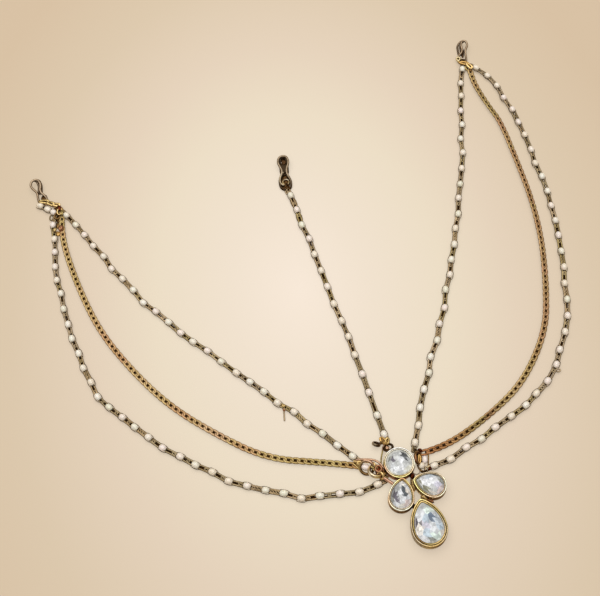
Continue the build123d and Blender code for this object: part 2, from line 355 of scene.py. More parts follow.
def pearl(bag, mat, tint, place, r=PEARL_R, h=PEARL_HALF, n=20, m=22,
          seed=0):
    """Slightly uneven pearl, drilled ends dimpled, X along the chain."""
    a = np.linspace(0, math.pi, n)
    b = np.arange(m) * 2 * math.pi / m
    rr = random.Random(seed)
    k1, k2 = rr.uniform(0, 6.28), rr.uniform(0, 6.28)
    e1, e2 = rr.uniform(-.03, .03), rr.uniform(-.02, .02)
    A, B = np.meshgrid(a, b, indexing="ij")
    bump = 1 + e1 * np.sin(2 * B + k1) * np.sin(A) + e2 * np.cos(3 * A + k2)
    rad = np.sin(A)
    ax = np.cos(A)
    ax = ax * (1 - 0.10 * np.exp(-((rad / 0.22) ** 2)))
    rad = np.maximum(rad, 0.03)
    v = np.stack([ax * h * bump, rad * r * bump * np.cos(B),
                  rad * r * bump * np.sin(B)], -1).reshape(-1, 3)
    f = grid_faces(n, m, close_n=False)
    # close the two tiny end holes
    c0 = v[:m].mean(0)[None]
    c1 = v[-m:].mean(0)[None]
    k = len(v)
    v = np.concatenate([v, c0, c1])
    j = np.arange(0, m, 2)
    e = (n - 1) * m
    q0 = np.stack([np.full(len(j), k), j, (j + 1) % m, (j + 2) % m], 1)[:, [0, 3, 2, 1]]
    q1 = np.stack([np.full(len(j), k + 1), e + j, e + (j + 1) % m,
                   e + (j + 2) % m], 1)
    f = np.concatenate([f, q0, q1])
    bag.add(v, f[:, ::-1], mat, tint, place)


def gap_link(bag, mat, place, half, wide, tint, rnd, kind=None):
    """Flat stout link between two pearls, its ends tucked under them, with a
    small pressed link or turns of wire laid across it."""
    n = 44
    t = np.arange(n) * 2 * math.pi / n
    ct, st = np.cos(t), np.sin(t)
    x = half * np.sign(ct) * np.abs(ct) ** 0.55
    pinch = 1 - 0.14 * (1 - np.abs(ct)) * (1 if half > 1.3 else 0)
    y = wide * np.sign(st) * np.abs(st) ** 0.5 * pinch
    z = 0.10 * np.sin(2 * t)
    r = 0.43 + 0.03 * np.cos(2 * t + rnd.uniform(0, 6))
    add_tube(bag, np.stack([x, y, z], 1), r, r * 0.92, mat, tint, place, m=8)
    if kind is None:
        kind = rnd.choice("mmmeew")
    if half < 1.2:
        return
    seats = {"m": [rnd.uniform(-0.15, 0.15)],
             "e": [rnd.choice((-0.42, 0.42))],
             "w": [-0.48, 0.0, 0.48]}[kind]
    for u in seats:
        tt = min(1, max(0, tint + rnd.uniform(-0.15, 0.15)))
        curb_link(bag, mat, tt, place @ flat_at(
            u * half, 0, 0.16, turn=rnd.uniform(-14, 14)),
            half=0.62 if kind != "e" else 0.80, wide=0.42, twist=0.10,
            wire=0.36, end_wire=0.36, n=20, m=8, press=0.5)


def ring_link(bag, mat, tint, place, r=1.6, rx=0.35, rz=0.35, squash=1.0,
              gap=0.0, n=36, m=8, tone=None):
    """Round or oval ring in its own XY plane; gap in degrees leaves it open."""
    if gap:
        t = np.linspace(math.radians(gap / 2), 2 * math.pi
                        - math.radians(gap / 2), n)
    else:
        t = np.arange(n) * 2 * math.pi / n
    c = np.stack([r * np.cos(t), r * squash * np.sin(t), 0 * t], 1)
    add_tube(bag, c, rx, rz, mat, tint, place, m=m, closed=not gap,
             tone=GOLD_TONES[tone] if tone else None)


def wire(bag, mat, tint, pts, r=0.3, m=8, rz=None, tone=None):
    """Open round wire through world points in mm, smoothed."""
    p = np.array(pts, float)
    for _ in range(3):
        q = [p[0]]
        for a, b in zip(p[:-1], p[1:]):
            q += [a * .75 + b * .25, a * .25 + b * .75]
        q.append(p[-1])
        p = np.array(q)
    add_tube(bag, p, r, rz or r, mat, tint, None, m=m, closed=False,
             tone=GOLD_TONES[tone] if tone else None)


def shadow_ribbon(bag, mat, rail, s0, s1, z, half, thick=0.16, step=1.2):
    """Dark ribbon low inside a chain: painted shadow standing in for the links' inner sides in
    shade.
    """
    s = np.arange(s0, s1, step)
    pts = np.array([rail.at(x * MM)[0] for x in s]) / MM
    pts[:, 2] = z
    add_tube(bag, pts, half, thick, mat, 0.5, None, m=8, closed=False)


def flat_at(x, y, z, turn=0.0, tilt_x=0.0, tilt_y=0.0):
    return (Matrix.Translation(Vector((x, y, z)) * MM)
            @ Matrix.Rotation(math.radians(turn), 4, "Z")
            @ Matrix.Rotation(math.radians(tilt_x), 4, "X")
            @ Matrix.Rotation(math.radians(tilt_y), 4, "Y"))


# ------------------------------------------------------------------- materials
def nodes_of(mat):
    mat.use_nodes = True
    nt = mat.node_tree
    nt.nodes.clear()
    out = nt.nodes.new("ShaderNodeOutputMaterial")
    bs = nt.nodes.new("ShaderNodeBsdfPrincipled")
    nt.links.new(bs.outputs[0], out.inputs["Surface"])
    return nt, bs, out


def noise(nt, scale, detail=4.0, rough=0.55, co=None, dist=0.0):
    n = nt.nodes.new("ShaderNodeTexNoise")
    n.inputs["Scale"].default_value = scale
    n.inputs["Detail"].default_value = detail
    n.inputs["Roughness"].default_value = rough
    n.inputs["Distortion"].default_value = dist
    if co is not None:
        nt.links.new(co, n.inputs["Vector"])
    return n.outputs["Fac"]


def ramp(nt, fac, stops, interp="LINEAR"):
    r = nt.nodes.new("ShaderNodeValToRGB")
    r.color_ramp.interpolation = interp
    el = r.color_ramp.elements
    while len(el) < len(stops):
        el.new(0.5)
    for e, (p, c) in zip(el, stops):
        e.position = p
        e.color = (*c, 1.0) if len(c) == 3 else c
    nt.links.new(fac, r.inputs["Fac"])
    return r.outputs["Color"]


def maths(nt, op, a, b=None, clamp=False):
    m = nt.nodes.new("ShaderNodeMath")
    m.operation = op
    m.use_clamp = clamp
    for i, x in enumerate((a, b)):
        if x is None:
            continue
        if isinstance(x, (int, float)):
            m.inputs[i].default_value = x
        else:
            nt.links.new(x, m.inputs[i])
    return m.outputs[0]


def mix(nt, fac, a, b, kind="MIX"):
    m = nt.nodes.new("ShaderNodeMix")
    m.data_type = "RGBA"
    m.blend_type = kind
    for key, x in (("Factor", fac), ("A", a), ("B", b)):
        sock = [i for i in m.inputs if i.name == key
                and i.type in ("VALUE", "RGBA")
                and (key == "Factor") == (i.type == "VALUE")][0]
        if isinstance(x, (int, float)):
            sock.default_value = x
        elif isinstance(x, tuple):
            sock.default_value = (*x, 1.0) if len(x) == 3 else x
        else:
            nt.links.new(x, sock)
    return [o for o in m.outputs if o.type == "RGBA"][0]


def attr(nt, name):
    a = nt.nodes.new("ShaderNodeAttribute")
    a.attribute_name = name
    return a.outputs["Fac"]


def coords(nt):
    return nt.nodes.new("ShaderNodeNewGeometry").outputs["Position"]


def bump(nt, height, strength, dist, bs):
    b = nt.nodes.new("ShaderNodeBump")
    b.inputs["Strength"].default_value = strength
    b.inputs["Distance"].default_value = dist
    nt.links.new(height, b.inputs["Height"])
    nt.links.new(b.outputs[0], bs.inputs["Normal"])


def ao(nt, dist, samples=6, inside=False):
    n = nt.nodes.new("ShaderNodeAmbientOcclusion")
    n.inputs["Distance"].default_value = dist
    n.samples = samples
    n.inside = inside
    return n.outputs["AO"]


def metal(name, light, mid, dark, rough=(0.18, 0.38), ao_mm=1.2, tints=None,
          patina_and_shade=(0.25, 0.85), grain=900.0, spots=(), side_shade=None, under=None):
    """Plated metal: lighter on open tops and darker in the corners from ambient
    occlusion, tarnish and painted shade; tint by piece, fine scratches; when
    asked, the flanks of wires painted darker than their tops; under is (low z,
    high z in mm, share of the unshaded colour left at the low one), painted
    shade low down."""
    mat = bpy.data.materials.new(name)
    nt, bs, out = nodes_of(mat)
    co = coords(nt)
    cloud = noise(nt, 260.0, 4.0, 0.6, co)
    fine = noise(nt, grain * 3, 3.0, 0.6, co)
    base = ramp(nt, cloud, [(0.30, mid), (0.62, light)])
    if tints:
        t = attr(nt, "tint")
        tcol = ramp(nt, t, [(i / (len(tints) - 1), c)
                            for i, c in enumerate(tints)])
        base = mix(nt, 1.0, base, tcol, "MULTIPLY")
    # darker in the corners from ambient occlusion, tarnish and painted shade; wire marked low
    # gets more painted shade, under its neighbours
    occ = ao(nt, ao_mm * MM)
    lo = attr(nt, "low")
    k = maths(nt, "SUBTRACT", occ, maths(nt, "MULTIPLY", lo, 0.25))
    k = maths(nt, "ADD", k, maths(nt, "MULTIPLY",
                                  maths(nt, "SUBTRACT", cloud, 0.5), 0.35))
    k = nt_range(nt, k, patina_and_shade[0], patina_and_shade[1])
    if side_shade:          # painted shade: flanks darker than tops, as if reflecting dark surroundings
        sep = nt.nodes.new("ShaderNodeSeparateXYZ")
        geo = nt.nodes.new("ShaderNodeNewGeometry")
        nt.links.new(geo.outputs["Normal"], sep.inputs[0])
        k = maths(nt, "MULTIPLY", k, nt_range(nt, sep.outputs["Z"], side_shade[0],
                                              side_shade[1], 0.12, 1.0))
    # painted shade: darker towards the bottom, from under's high z down to its low z
    if under:
        up = nt.nodes.new("ShaderNodeSeparateXYZ")
        nt.links.new(co, up.inputs[0])
        k = maths(nt, "MULTIPLY", k, nt_range(nt, up.outputs["Z"],
                                              under[0] * MM, under[1] * MM,
                                              under[2], 1.0))
    col = mix(nt, k, dark, base)
    for x, y, z, radius, tone in spots:      # heat-darkened solder
        far = nt.nodes.new("ShaderNodeVectorMath")
        far.operation = "DISTANCE"
        far.inputs[1].default_value = (x * MM, y * MM, z * MM)
        nt.links.new(co, far.inputs[0])
        near = nt_range(nt, far.outputs["Value"], radius * 0.45 * MM,
                        radius * MM, 0.92, 0.0)
        col = mix(nt, near, col, tone)
    nt.links.new(col, bs.inputs["Base Color"])
    bs.inputs["Metallic"].default_value = 1.0
    bs.inputs["Specular Tint"].default_value = (0.74, 0.60, 0.42, 1.0)
    r = nt_range(nt, fine, 0.3, 0.75, rough[0], rough[1])
    r = maths(nt, "ADD", r, maths(nt, "MULTIPLY",
                                  maths(nt, "SUBTRACT", 1.0, k), 0.25))
    nt.links.new(r, bs.inputs["Roughness"])
    bump(nt, noise(nt, grain, 5.0, 0.6, co), 0.22, 0.00008, bs)
    return mat


def nt_range(nt, x, a, b, c=0.0, d=1.0):
    m = nt.nodes.new("ShaderNodeMapRange")
    m.clamp = True
    for key, val in (("From Min", a), ("From Max", b), ("To Min", c),
                     ("To Max", d)):
        m.inputs[key].default_value = val
    nt.links.new(x, m.inputs["Value"])
    return m.outputs["Result"]


MAT = {}
RED, BROWN = (0.16, 0.030, 0.006), (0.070, 0.032, 0.008)
COPPER = (0.42, 0.17, 0.06)
SPOTS = [(4.35, -5.70, 3.0, 1.75, RED), (1.9, -18.4, 2.5, 1.7, BROWN),
         (10.5, -17.2, 2.2, 1.6, BROWN), (3.9, -10.6, 2.5, 1.5, BROWN),
         (-0.4, -6.6, 2.4, 1.7, BROWN), (-3.0, 7.9, 3.2, 2.6, RED),
         (-6.4, -5.6, 1.2, 1.3, BROWN), (7.6, -16.8, 3.0, 1.2, COPPER)]
MAT["gold"] = metal("bright_gold", (0.80, 0.67, 0.41), (0.52, 0.39, 0.17),
                    (0.085, 0.045, 0.010), rough=(0.22, 0.40), ao_mm=0.8,
                    patina_and_shade=(0.42, 0.86), spots=SPOTS)
MAT["ring"] = metal("browned_gold", (0.80, 0.56, 0.33), (0.50, 0.30, 0.12),
                    (0.07, 0.02, 0.008), rough=(0.25, 0.45), ao_mm=1.5,
                    patina_and_shade=(0.42, 0.95))
MAT["curb"] = metal("curb_gold", (0.60, 0.445, 0.25), (0.45, 0.315, 0.155),
                    (0.10, 0.032, 0.004), rough=(0.48, 0.66), ao_mm=0.45,
                    tints=[(1.0, 0.84, 0.90), (1.05, 0.98, 1.05),
                           (0.98, 0.98, 0.80), (0.98, 0.80, 0.78),
                           (0.90, 0.94, 0.72), (0.66, 0.40, 0.30)],
                    patina_and_shade=(0.04, 0.48), side_shade=(0.12, 0.66))
MAT["link"] = metal("antique_link", (0.385, 0.305, 0.185),
                    (0.215, 0.158, 0.083), (0.032, 0.016, 0.004), rough=(0.36, 0.55), ao_mm=0.6,
                    tints=[(1.0, 0.96, 1.0), (1.0, 0.97, 0.72),
                           (1.25, 1.19, 1.22), (1.0, 0.90, 0.80),
                           (0.92, 0.90, 0.86)], patina_and_shade=(0.22, 0.74),
                    side_shade=(0.30, 0.90))
MAT["hook"] = metal("antique_wire", (0.46, 0.345, 0.23), (0.30, 0.21, 0.13),
                    (0.040, 0.020, 0.008), rough=(0.34, 0.54), ao_mm=1.1,
                    patina_and_shade=(0.25, 0.85), side_shade=(0.0, 0.80),
                    under=(0.9, 2.2, 0.30))
MAT["shaded"] = metal("dark_wire", (0.40, 0.31, 0.21), (0.26, 0.185, 0.11),
                      (0.040, 0.018, 0.004), rough=(0.40, 0.60), ao_mm=1.2,
                      patina_and_shade=(0.25, 0.85), side_shade=(0.0, 0.80),
                      under=(1.3, 2.4, 0.14))


def shade_material():
    """Brown painted shadow for a chain's inside."""
    mat = bpy.data.materials.new("painted_inside_shadow")
    nt, bs, out = nodes_of(mat)
    co = coords(nt)
    nt.links.new(ramp(nt, noise(nt, 500.0, 3.0, 0.5, co),
                      [(0.3, (0.034, 0.012, 0.001)),
                       (0.7, (0.070, 0.028, 0.004))]),
                 bs.inputs["Base Color"])
    bs.inputs["Roughness"].default_value = 0.8
    bs.inputs["Specular IOR Level"].default_value = 0.04
    bump(nt, noise(nt, 1400.0, 3.0, 0.6, co), 0.3, 0.0001, bs)
    return mat


MAT["dark"] = shade_material()


def pearl_material():
    mat = bpy.data.materials.new("pearl")
    nt, bs, out = nodes_of(mat)
    co = coords(nt)
    cloud = noise(nt, 420.0, 3.0, 0.5, co)
    t = attr(nt, "tint")
    body = ramp(nt, t, [(0.0, (0.91, 0.78, 0.60)), (0.3, (0.94, 0.83, 0.68)),
                        (0.55, (0.96, 0.82, 0.75)), (0.8, (0.87, 0.83, 0.65)),
                        (1.0, (0.97, 0.90, 0.79))])
    sep = nt.nodes.new("ShaderNodeSeparateXYZ")
    geo = nt.nodes.new("ShaderNodeNewGeometry")
    nt.links.new(geo.outputs["Normal"], sep.inputs[0])
    # painted shade: the pearl's lower flanks darken to brown
    shaded_underside = mix(nt, nt_range(nt, sep.outputs["Z"], -0.05, 0.60, 1.0, 0.0),
               body, (0.33, 0.255, 0.16))
    col = mix(nt, nt_range(nt, cloud, 0.35, 0.7, 0.0, 0.25), shaded_underside,
              (0.85, 0.78, 0.67))
    nt.links.new(col, bs.inputs["Base Color"])
    bs.inputs["Roughness"].default_value = 0.22
    bs.inputs["Subsurface Weight"].default_value = 0.12
    bs.inputs["Subsurface Radius"].default_value = (0.001, 0.0008, 0.0006)
    bs.inputs["Coat Weight"].default_value = 0.6
    bs.inputs["Coat Roughness"].default_value = 0.08
    bs.inputs["Sheen Weight"].default_value = 0.1
    bump(nt, noise(nt, 1500.0, 2.0, 0.5, co), 0.08, 0.00005, bs)
    return mat


MAT["pearl"] = pearl_material()
GOLD_TONES = {
    "cream": (0.86, 0.76, 0.58), "pale": (0.84, 0.80, 0.68),
    "gold": (0.86, 0.62, 0.27), "straw": (0.60, 0.435, 0.18),
    "olive": (0.34, 0.26, 0.095), "greygold": (0.43, 0.35, 0.235),
    "rosy": (0.95, 0.53, 0.36), "brown": (0.20, 0.11, 0.035),
    "umber": (0.072, 0.032, 0.006), "red": (0.13, 0.025, 0.004),
    "tan": (0.56, 0.40, 0.24), "copper": (0.40, 0.19, 0.095),
    "pinkish": (0.60, 0.375, 0.245), "amber": (0.60, 0.37, 0.12),
    "near_black": (0.050, 0.022, 0.005),
}

def lump(bag, x, y, z, rx, ry, rz, turn, tone, seed=0, mat=0):
    """Uneven run of solder or a leaf of plate; some are dark patches of painted shade, one a
    small painted highlight.
    """
    n, m = 12, 16
    rr = random.Random(seed)
    ph = [rr.uniform(0, 6.28) for _ in range(4)]
    a = np.linspace(0, math.pi, n)
    b = np.arange(m) * 2 * math.pi / m
    A, B = np.meshgrid(a, b, indexing="ij")
    w = (1 + 0.10 * np.sin(2 * B + ph[0]) * np.sin(A)
         + 0.07 * np.sin(3 * B + ph[1] + 2 * A) + 0.05 * np.sin(4 * A + ph[2]))
    rad = np.maximum(np.sin(A), 0.02) * w
    v = np.stack([rad * np.cos(B) * rx, rad * np.sin(B) * ry,
                  -np.cos(A) * w * rz], -1).reshape(-1, 3)
    f = grid_faces(n, m, close_n=False)
    k = len(v)
    v = np.concatenate([v, v[:m].mean(0)[None], v[-m:].mean(0)[None]])
    j = np.arange(0, m, 2)
    e = (n - 1) * m
    q0 = np.stack([np.full(len(j), k), (j + 2) % m, (j + 1) % m, j], 1)
    q1 = np.stack([np.full(len(j), k + 1), e + j, e + (j + 1) % m,
                   e + (j + 2) % m], 1)
    bag.add(v, np.concatenate([f[:, ::-1], q0, q1]), mat, 0.5,
            flat_at(x, y, z, turn=turn), None, GOLD_TONES[tone])


def plated_material():
    """Plated metal that takes its colour from the piece's own table of plating,
    wear and painted light and shade.
    """
    mat = bpy.data.materials.new("plated_gold")
    nt, bs, out = nodes_of(mat)
    co = coords(nt)
    a = nt.nodes.new("ShaderNodeAttribute")
    a.attribute_name = "tone"
    cloud = noise(nt, 700.0, 4.0, 0.65, co)
    k = ramp(nt, cloud, [(0.30, (0.62, 0.58, 0.52)), (0.50, (0.95, 0.93, 0.90)),
                         (0.72, (1.18, 1.18, 1.16))])
    base = mix(nt, 1.0, a.outputs["Color"], k, "MULTIPLY")
    # painted shade: darker in the corners from ambient occlusion
    occ = nt_range(nt, ao(nt, 0.9 * MM, 8), 0.18, 0.68)
    dark = mix(nt, 1.0, a.outputs["Color"], (0.30, 0.19, 0.11), "MULTIPLY")
    col = mix(nt, occ, dark, base)
    nt.links.new(col, bs.inputs["Base Color"])
    bs.inputs["Metallic"].default_value = 0.85
    fine = noise(nt, 2600.0, 3.0, 0.6, co)
    nt.links.new(nt_range(nt, fine, 0.3, 0.75, 0.24, 0.46),
                 bs.inputs["Roughness"])
    bump(nt, noise(nt, 1100.0, 5.0, 0.6, co), 0.25, 0.00008, bs)
    return mat


def band_ring(bag, mat, place, r, across, along, tones, n=56, m=12,
              inner="umber"):
    """Broad ring in its own XY plane; tones are (degrees round it, colour), its
    plating with painted highlights and shade, and its inner side is the inner
    colour, painted shade."""
    t = np.arange(n) * 2 * math.pi / n
    v, f, _ = tube(np.stack([r * np.cos(t), r * np.sin(t), 0 * t], 1), across,
                   along, m, power=0.75)
    deg = np.array([q[0] for q in tones] + [tones[0][0] + 360], float)
    col = np.array([GOLD_TONES[q[1]] for q in tones]
                   + [GOLD_TONES[tones[0][1]]])
    at = (np.degrees(t) - deg[0]) % 360 + deg[0]
    c = np.stack([np.interp(at, deg, col[:, i]) for i in range(3)], 1)
    c = np.repeat(c[:, None, :], m, 1)
    rad = np.hypot(v[:, 0], v[:, 1]).reshape(n, m)
    # painted shade: the inner side fades to the inner colour
    k = np.clip((r + across * 0.30 - rad) / (across * 0.9), 0, 1)[:, :, None]
    c = c * (1 - k) + np.array(GOLD_TONES[inner]) * k
    bag.add(v, f, mat, 0.5, place, None, c.reshape(-1, 3))


def toned_ring(bag, mat, place, r, rad, tone):
    t = np.arange(40) * 2 * math.pi / 40
    add_tube(bag, np.stack([r * np.cos(t), r * np.sin(t), 0 * t], 1), rad, rad,
             mat, 0.5, place, m=10, tone=GOLD_TONES[tone])


MAT["plated"] = plated_material()
M_PEARL, M_LINK, M_CURB, M_DARK, M_GOLD, M_RING, M_TONE = range(7)
SET = [MAT["pearl"], MAT["link"], MAT["curb"], MAT["dark"], MAT["gold"],
       MAT["ring"], MAT["plated"]]


# --------------------------------------------------------------------- strands
def pearl_strand(name):
    rail = Rail(name, PEARL_Z)
    bag = Bag()
    rows = PEARLS[name]
    rnd = random.Random(name)
    tone = rnd.random()
    shadow_ribbon(bag, M_DARK, rail, max(rows[0][0], 0.4), rows[-1][0], 0.36, 0.60,
         0.12)
    for i, (s, off) in enumerate(rows):
        pearl(bag, M_PEARL, rnd.random(), rail.place(
            s, off, PEARL_Z + 0.02, yaw=rnd.uniform(-8, 8)),
            r=PEARL_R * rnd.uniform(0.95, 1.03),
            h=PEARL_HALF * rnd.uniform(0.93, 1.04), seed=i + len(name))
        # a cap of thin wire at each end of the pearl
        for sign in (-1, 1):
            ring_link(bag, M_LINK, tone, rail.place(
                s + sign * (PEARL_HALF - 0.16), off, 1.38, pitch=90),
                r=0.42, rx=0.17, rz=0.17, n=16, m=6)
        tone = min(1, max(0, tone + rnd.uniform(-0.5, 0.5)))
        wide = 0.90 * rnd.uniform(0.86, 1.08)
        # thin wires bent round the pearl's sides
        n = 15
        u = np.linspace(-1, 1, n)
        for side in (-1, 1):
            reach = PEARL_HALF + 0.35
            y = 0.80 + (PEARL_R - 0.74) * np.sqrt(np.clip(1 - u * u * 0.98,
                                                          0, 1))
            # side wires marked low in full: painted shade beside the pearl
            add_tube(bag, np.stack([u * reach, side * y, 0 * u], 1), 0.13,
                     0.13, M_LINK, tone, rail.place(s, off, 1.02), m=6,
                     closed=False, low=np.full(n, 1.6))
        if i == 0 and name != "left_outer_pearl_strand":
            gap_link(bag, M_LINK, rail.place(
                s - PEARL_HALF - 0.75, off, 1.08, roll=rnd.uniform(-8, 8)),
                1.4, wide, tone, rnd, "e")
        if i + 1 < len(rows):
            s1, off1 = rows[i + 1]
            pitch = s1 - s
            half = max(0.75, pitch / 2 - PEARL_HALF + 0.52)
            gap_link(bag, M_LINK, rail.place(
                (s + s1) / 2, (off + off1) / 2, 1.08,
                roll=max(-16, min(16, rnd.gauss(0, 8))),
                yaw=math.degrees(math.atan2(off1 - off, pitch))),
                half, wide, tone, rnd)
        else:
            gap_link(bag, M_LINK, rail.place(
                s + PEARL_HALF + 0.75, off, 1.08, roll=rnd.uniform(-8, 8)),
                1.4, wide, tone, rnd, "e")
    return rail, bag


def curb_chain(name):
    rail = Rail(name, CURB_Z)
    bag = Bag()
    rnd = random.Random(name)
    tab = np.array(CURB_ROLL[name], float)
    s0, s1 = -2.3, rail.length / MM + 1.6
    n = int((s1 - s0) / CURB_PITCH)
    tone = 0.3
    shadow_ribbon(bag, M_DARK, rail, 0.0, rail.length / MM, 0.36, 0.62, 0.12)
    for i in range(n + 1):
        s = s0 + i * CURB_PITCH
        if i % 7 == 0:
            goal = rnd.random()
        tone += (goal - tone) * 0.3
        roll = float(np.interp(s, tab[:, 0], tab[:, 1]))
        red = float(np.interp(s, [q[0] for q in CURB_RED[name]],
                              [q[1] for q in CURB_RED[name]]))
        t = 0.8 * min(1, max(0, tone + rnd.uniform(-.10, .10)))
        curb_link(bag, M_CURB, t * (1 - red) + red,
                  rail.place(s, 0.0, None, roll=roll + rnd.uniform(-3, 3),
                             yaw=rnd.uniform(-1.5, 1.5)))
    return rail, bag


made = {}
for name in PEARLS:
    made[name] = pearl_strand(name)
for name in CURB_ROLL:
    made[name] = curb_chain(name)

# ----------------------------------------------------- small parts at the ends
# top of the pendant: gold links between the last pearl and the loop, a dark
# one beside them, and a thin wire down the round setting's left side
bag = made["centre_pearl_strand"][1]
curb_link(bag, M_TONE, 0.6, flat_at(-4.75, 10.9, 1.85, turn=118),
          half=1.55, wide=0.85, wire=0.50, end_wire=0.45, twist=0.35,
          tone="amber")
curb_link(bag, M_TONE, 0.6, flat_at(-3.15, 10.35, 2.15, turn=62),
          half=1.35, wide=0.70, wire=0.46, end_wire=0.42, twist=0.30,
          tone="straw")
lump(bag, -4.15, 9.35, 2.45, 1.25, 0.62, 0.55, -25, "amber", 3, M_TONE)
lump(bag, -4.75, 10.9, 1.75, 1.3, 0.62, 0.40, -62, "brown", 87, M_TONE)
lump(bag, -3.15, 10.3, 1.95, 1.1, 0.50, 0.40, 62, "brown", 88, M_TONE)
lump(bag, -5.6, 10.1, 1.6, 0.9, 0.7, 0.8, 10, "brown", 5, M_TONE)
lump(bag, -3.62, 7.72, 1.35, 1.15, 1.0, 0.5, 18, "pinkish", 6, M_TONE)
wire(bag, M_TONE, 0.2, [(-4.6, 8.9, 2.3), (-5.5, 7.9, 1.6), (-5.7, 6.9, 1.2)],
     r=0.32, tone="pinkish")
wire(bag, M_TONE, 0.2, [(-5.5, 7.1, 1.2), (-6.3, 5.2, 1.0), (-6.9, 3.4, 0.9),
                        (-7.2, 1.6, 0.7)], r=0.33, tone="olive")
# centre hook's end
curb_link(bag, M_TONE, 0.5, flat_at(-28.45, 143.1, 1.3, turn=-82),
          half=1.6, wide=0.75, wire=0.42, end_wire=0.40, twist=0.3,
          tone="umber")
lump(bag, -28.4, 158.6, 1.05, 1.5, 2.6, 0.30, -2, "near_black", 61, M_TONE)
lump(bag, -29.15, 147.0, 0.30, 2.75, 4.6, 0.25, 0, "umber", 62, M_TONE)
# the chain's first links lie wider, one over the other
for x, y, turn, half in ((-26.6, 134.0, -77, 2.75), (-25.05, 125.2, -82, 2.6),
                         (-28.5, 140.6, -74, 1.9)):
    curb_link(bag, M_LINK, 0.55, flat_at(x, y, 0.75, turn=turn), half=half,
              wide=1.16, wire=0.38, end_wire=0.34, twist=0.1)
    # flat dark patch under each link: painted shade seen through it
    lump(bag, x, y, 0.35, half * 0.95, 1.15, 0.30, turn, "umber", 63, M_TONE)
wire(bag, M_TONE, 0.5, [(-29.4, 151.2, 1.9), (-30.6, 149.9, 1.9), (-31.6, 147.6, 1.7),
                        (-31.5, 145.2, 1.5), (-30.0, 144.1, 1.3)], r=0.50,
     tone="greygold")

# left: the pearl held in the outer ring, end of the curb chain, dark links
bag = made["left_inner_pearl_strand"][1]
pearl(bag, M_PEARL, 0.55, flat_at(-13.85, 0.85, 1.75, turn=-20), seed=5)
wire(bag, M_LINK, 0.3, [(-17.6, 4.9, 1.1), (-16.4, 4.0, 1.6),
                        (-15.0, 2.2, 1.5)], r=0.3)
lump(bag, -12.0, -2.2, 0.9, 1.1, 0.8, 0.8, -20, "umber", 11, M_TONE)
# stray end of an eye pin
wire(bag, M_LINK, 0.6, [(-43.9, 32.2, 1.3), (-44.4, 31.0, 0.8),
                        (-44.5, 28.9, 0.50), (-44.7, 26.3, 0.45)], r=0.36)
lump(bag, -44.2, 32.7, 1.75, 1.0, 0.8, 0.45, -35, "straw", 91, M_TONE)
lump(bag, -44.25, 31.1, 1.0, 0.65, 0.8, 0.5, 0, "copper", 92, M_TONE)
# its first link reaches over to the curb chain
ring_link(bag, M_LINK, 0.5, flat_at(-137.9, 145.5, 1.6, tilt_x=50), r=0.9,
          rx=0.26, rz=0.26)
bag = made["left_outer_pearl_strand"][1]
curb_link(bag, M_RING, 0.5, flat_at(-8.3, -5.9, 1.1, turn=42), half=1.7,
          wide=0.8, wire=0.36, end_wire=0.34, twist=0.3)
ring_link(bag, M_LINK, 0.6, flat_at(-142.0, 147.4, 1.0, turn=0, tilt_x=12),
          r=1.85, rx=0.35, rz=0.35, squash=0.72)
ring_link(bag, M_LINK, 0.9, flat_at(-143.9, 145.9, 0.75, turn=75), r=1.6,
          rx=0.34, rz=0.34, squash=0.62)
bag = made["left_curb_chain"][1]
# long end link of the curb chain over the pearl, down to the inner ring
wire(bag, M_TONE, 0.5, [(-17.4, 4.2, 2.7), (-16.0, 4.0, 3.3),
                        (-13.9, 3.6, 3.9), (-10.2, 2.9, 3.9),
                        (-7.9, 1.4, 3.5), (-6.7, -0.9, 3.1)], r=0.46, rz=0.46,
     m=10, tone="pinkish")
wire(bag, M_TONE, 0.5, [(-18.3, 3.9, 2.0), (-16.8, 3.5, 2.6),
                        (-14.2, 2.9, 3.1), (-11.6, 2.2, 3.4)], r=0.50,
     m=10, tone="gold")
lump(bag, -16.6, 2.6, 2.0, 1.35, 1.0, 0.85, -25, "straw", 81, M_TONE)
lump(bag, -17.3, 3.7, 2.1, 0.9, 0.6, 0.7, -20, "gold", 82, M_TONE)
lump(bag, -16.2, 1.5, 1.6, 1.2, 0.7, 0.8, -40, "olive", 83, M_TONE)
wire(bag, M_TONE, 0.5, [(-18.6, 3.0, 1.7), (-17.6, 1.9, 1.5),
                        (-16.4, 0.3, 1.1)], r=0.42, tone="straw")
# copper ring over the inner ring
toned_ring(bag, M_TONE, flat_at(-8.80, -1.15, 3.95, turn=-10, tilt_x=8), 1.22,
           0.46, "copper")
lump(bag, -8.80, -1.15, 3.45, 1.0, 1.0, 0.45, 0, "red", 84, M_TONE)
lump(bag, -7.0, -3.2, 2.3, 1.15, 1.2, 0.8, -20, "amber", 85, M_TONE)
lump(bag, -6.5, -4.6, 2.75, 0.5, 0.4, 0.3, -20, "umber", 86, M_TONE)
# star of gold links between the pearl and the inner ring
curb_link(bag, M_TONE, 0.5, flat_at(-10.5, 0.25, 3.45, turn=96), half=1.55,
          wide=0.62, wire=0.46, end_wire=0.44, twist=0.3, tone="gold")
curb_link(bag, M_TONE, 0.5, flat_at(-10.4, -0.2, 3.75, turn=-28), half=1.25,
          wide=0.50, wire=0.42, end_wire=0.40, twist=0.3, tone="olive")
# links inside the inner ring, red-brown with painted shade, and a small painted highlight on
# them
lump(bag, -8.95, -1.25, 2.1, 1.35, 2.1, 0.9, -8, "red", 21, M_TONE)
lump(bag, -9.2, -1.2, 2.85, 0.32, 0.75, 0.4, -8, "pinkish", 22, M_TONE)
lump(bag, -7.35, -1.0, 2.7, 0.62, 1.9, 0.8, 22, "copper", 25, M_TONE)
lump(bag, -6.45, -2.3, 1.7, 0.6, 1.3, 1.0, 15, "umber", 26, M_TONE)
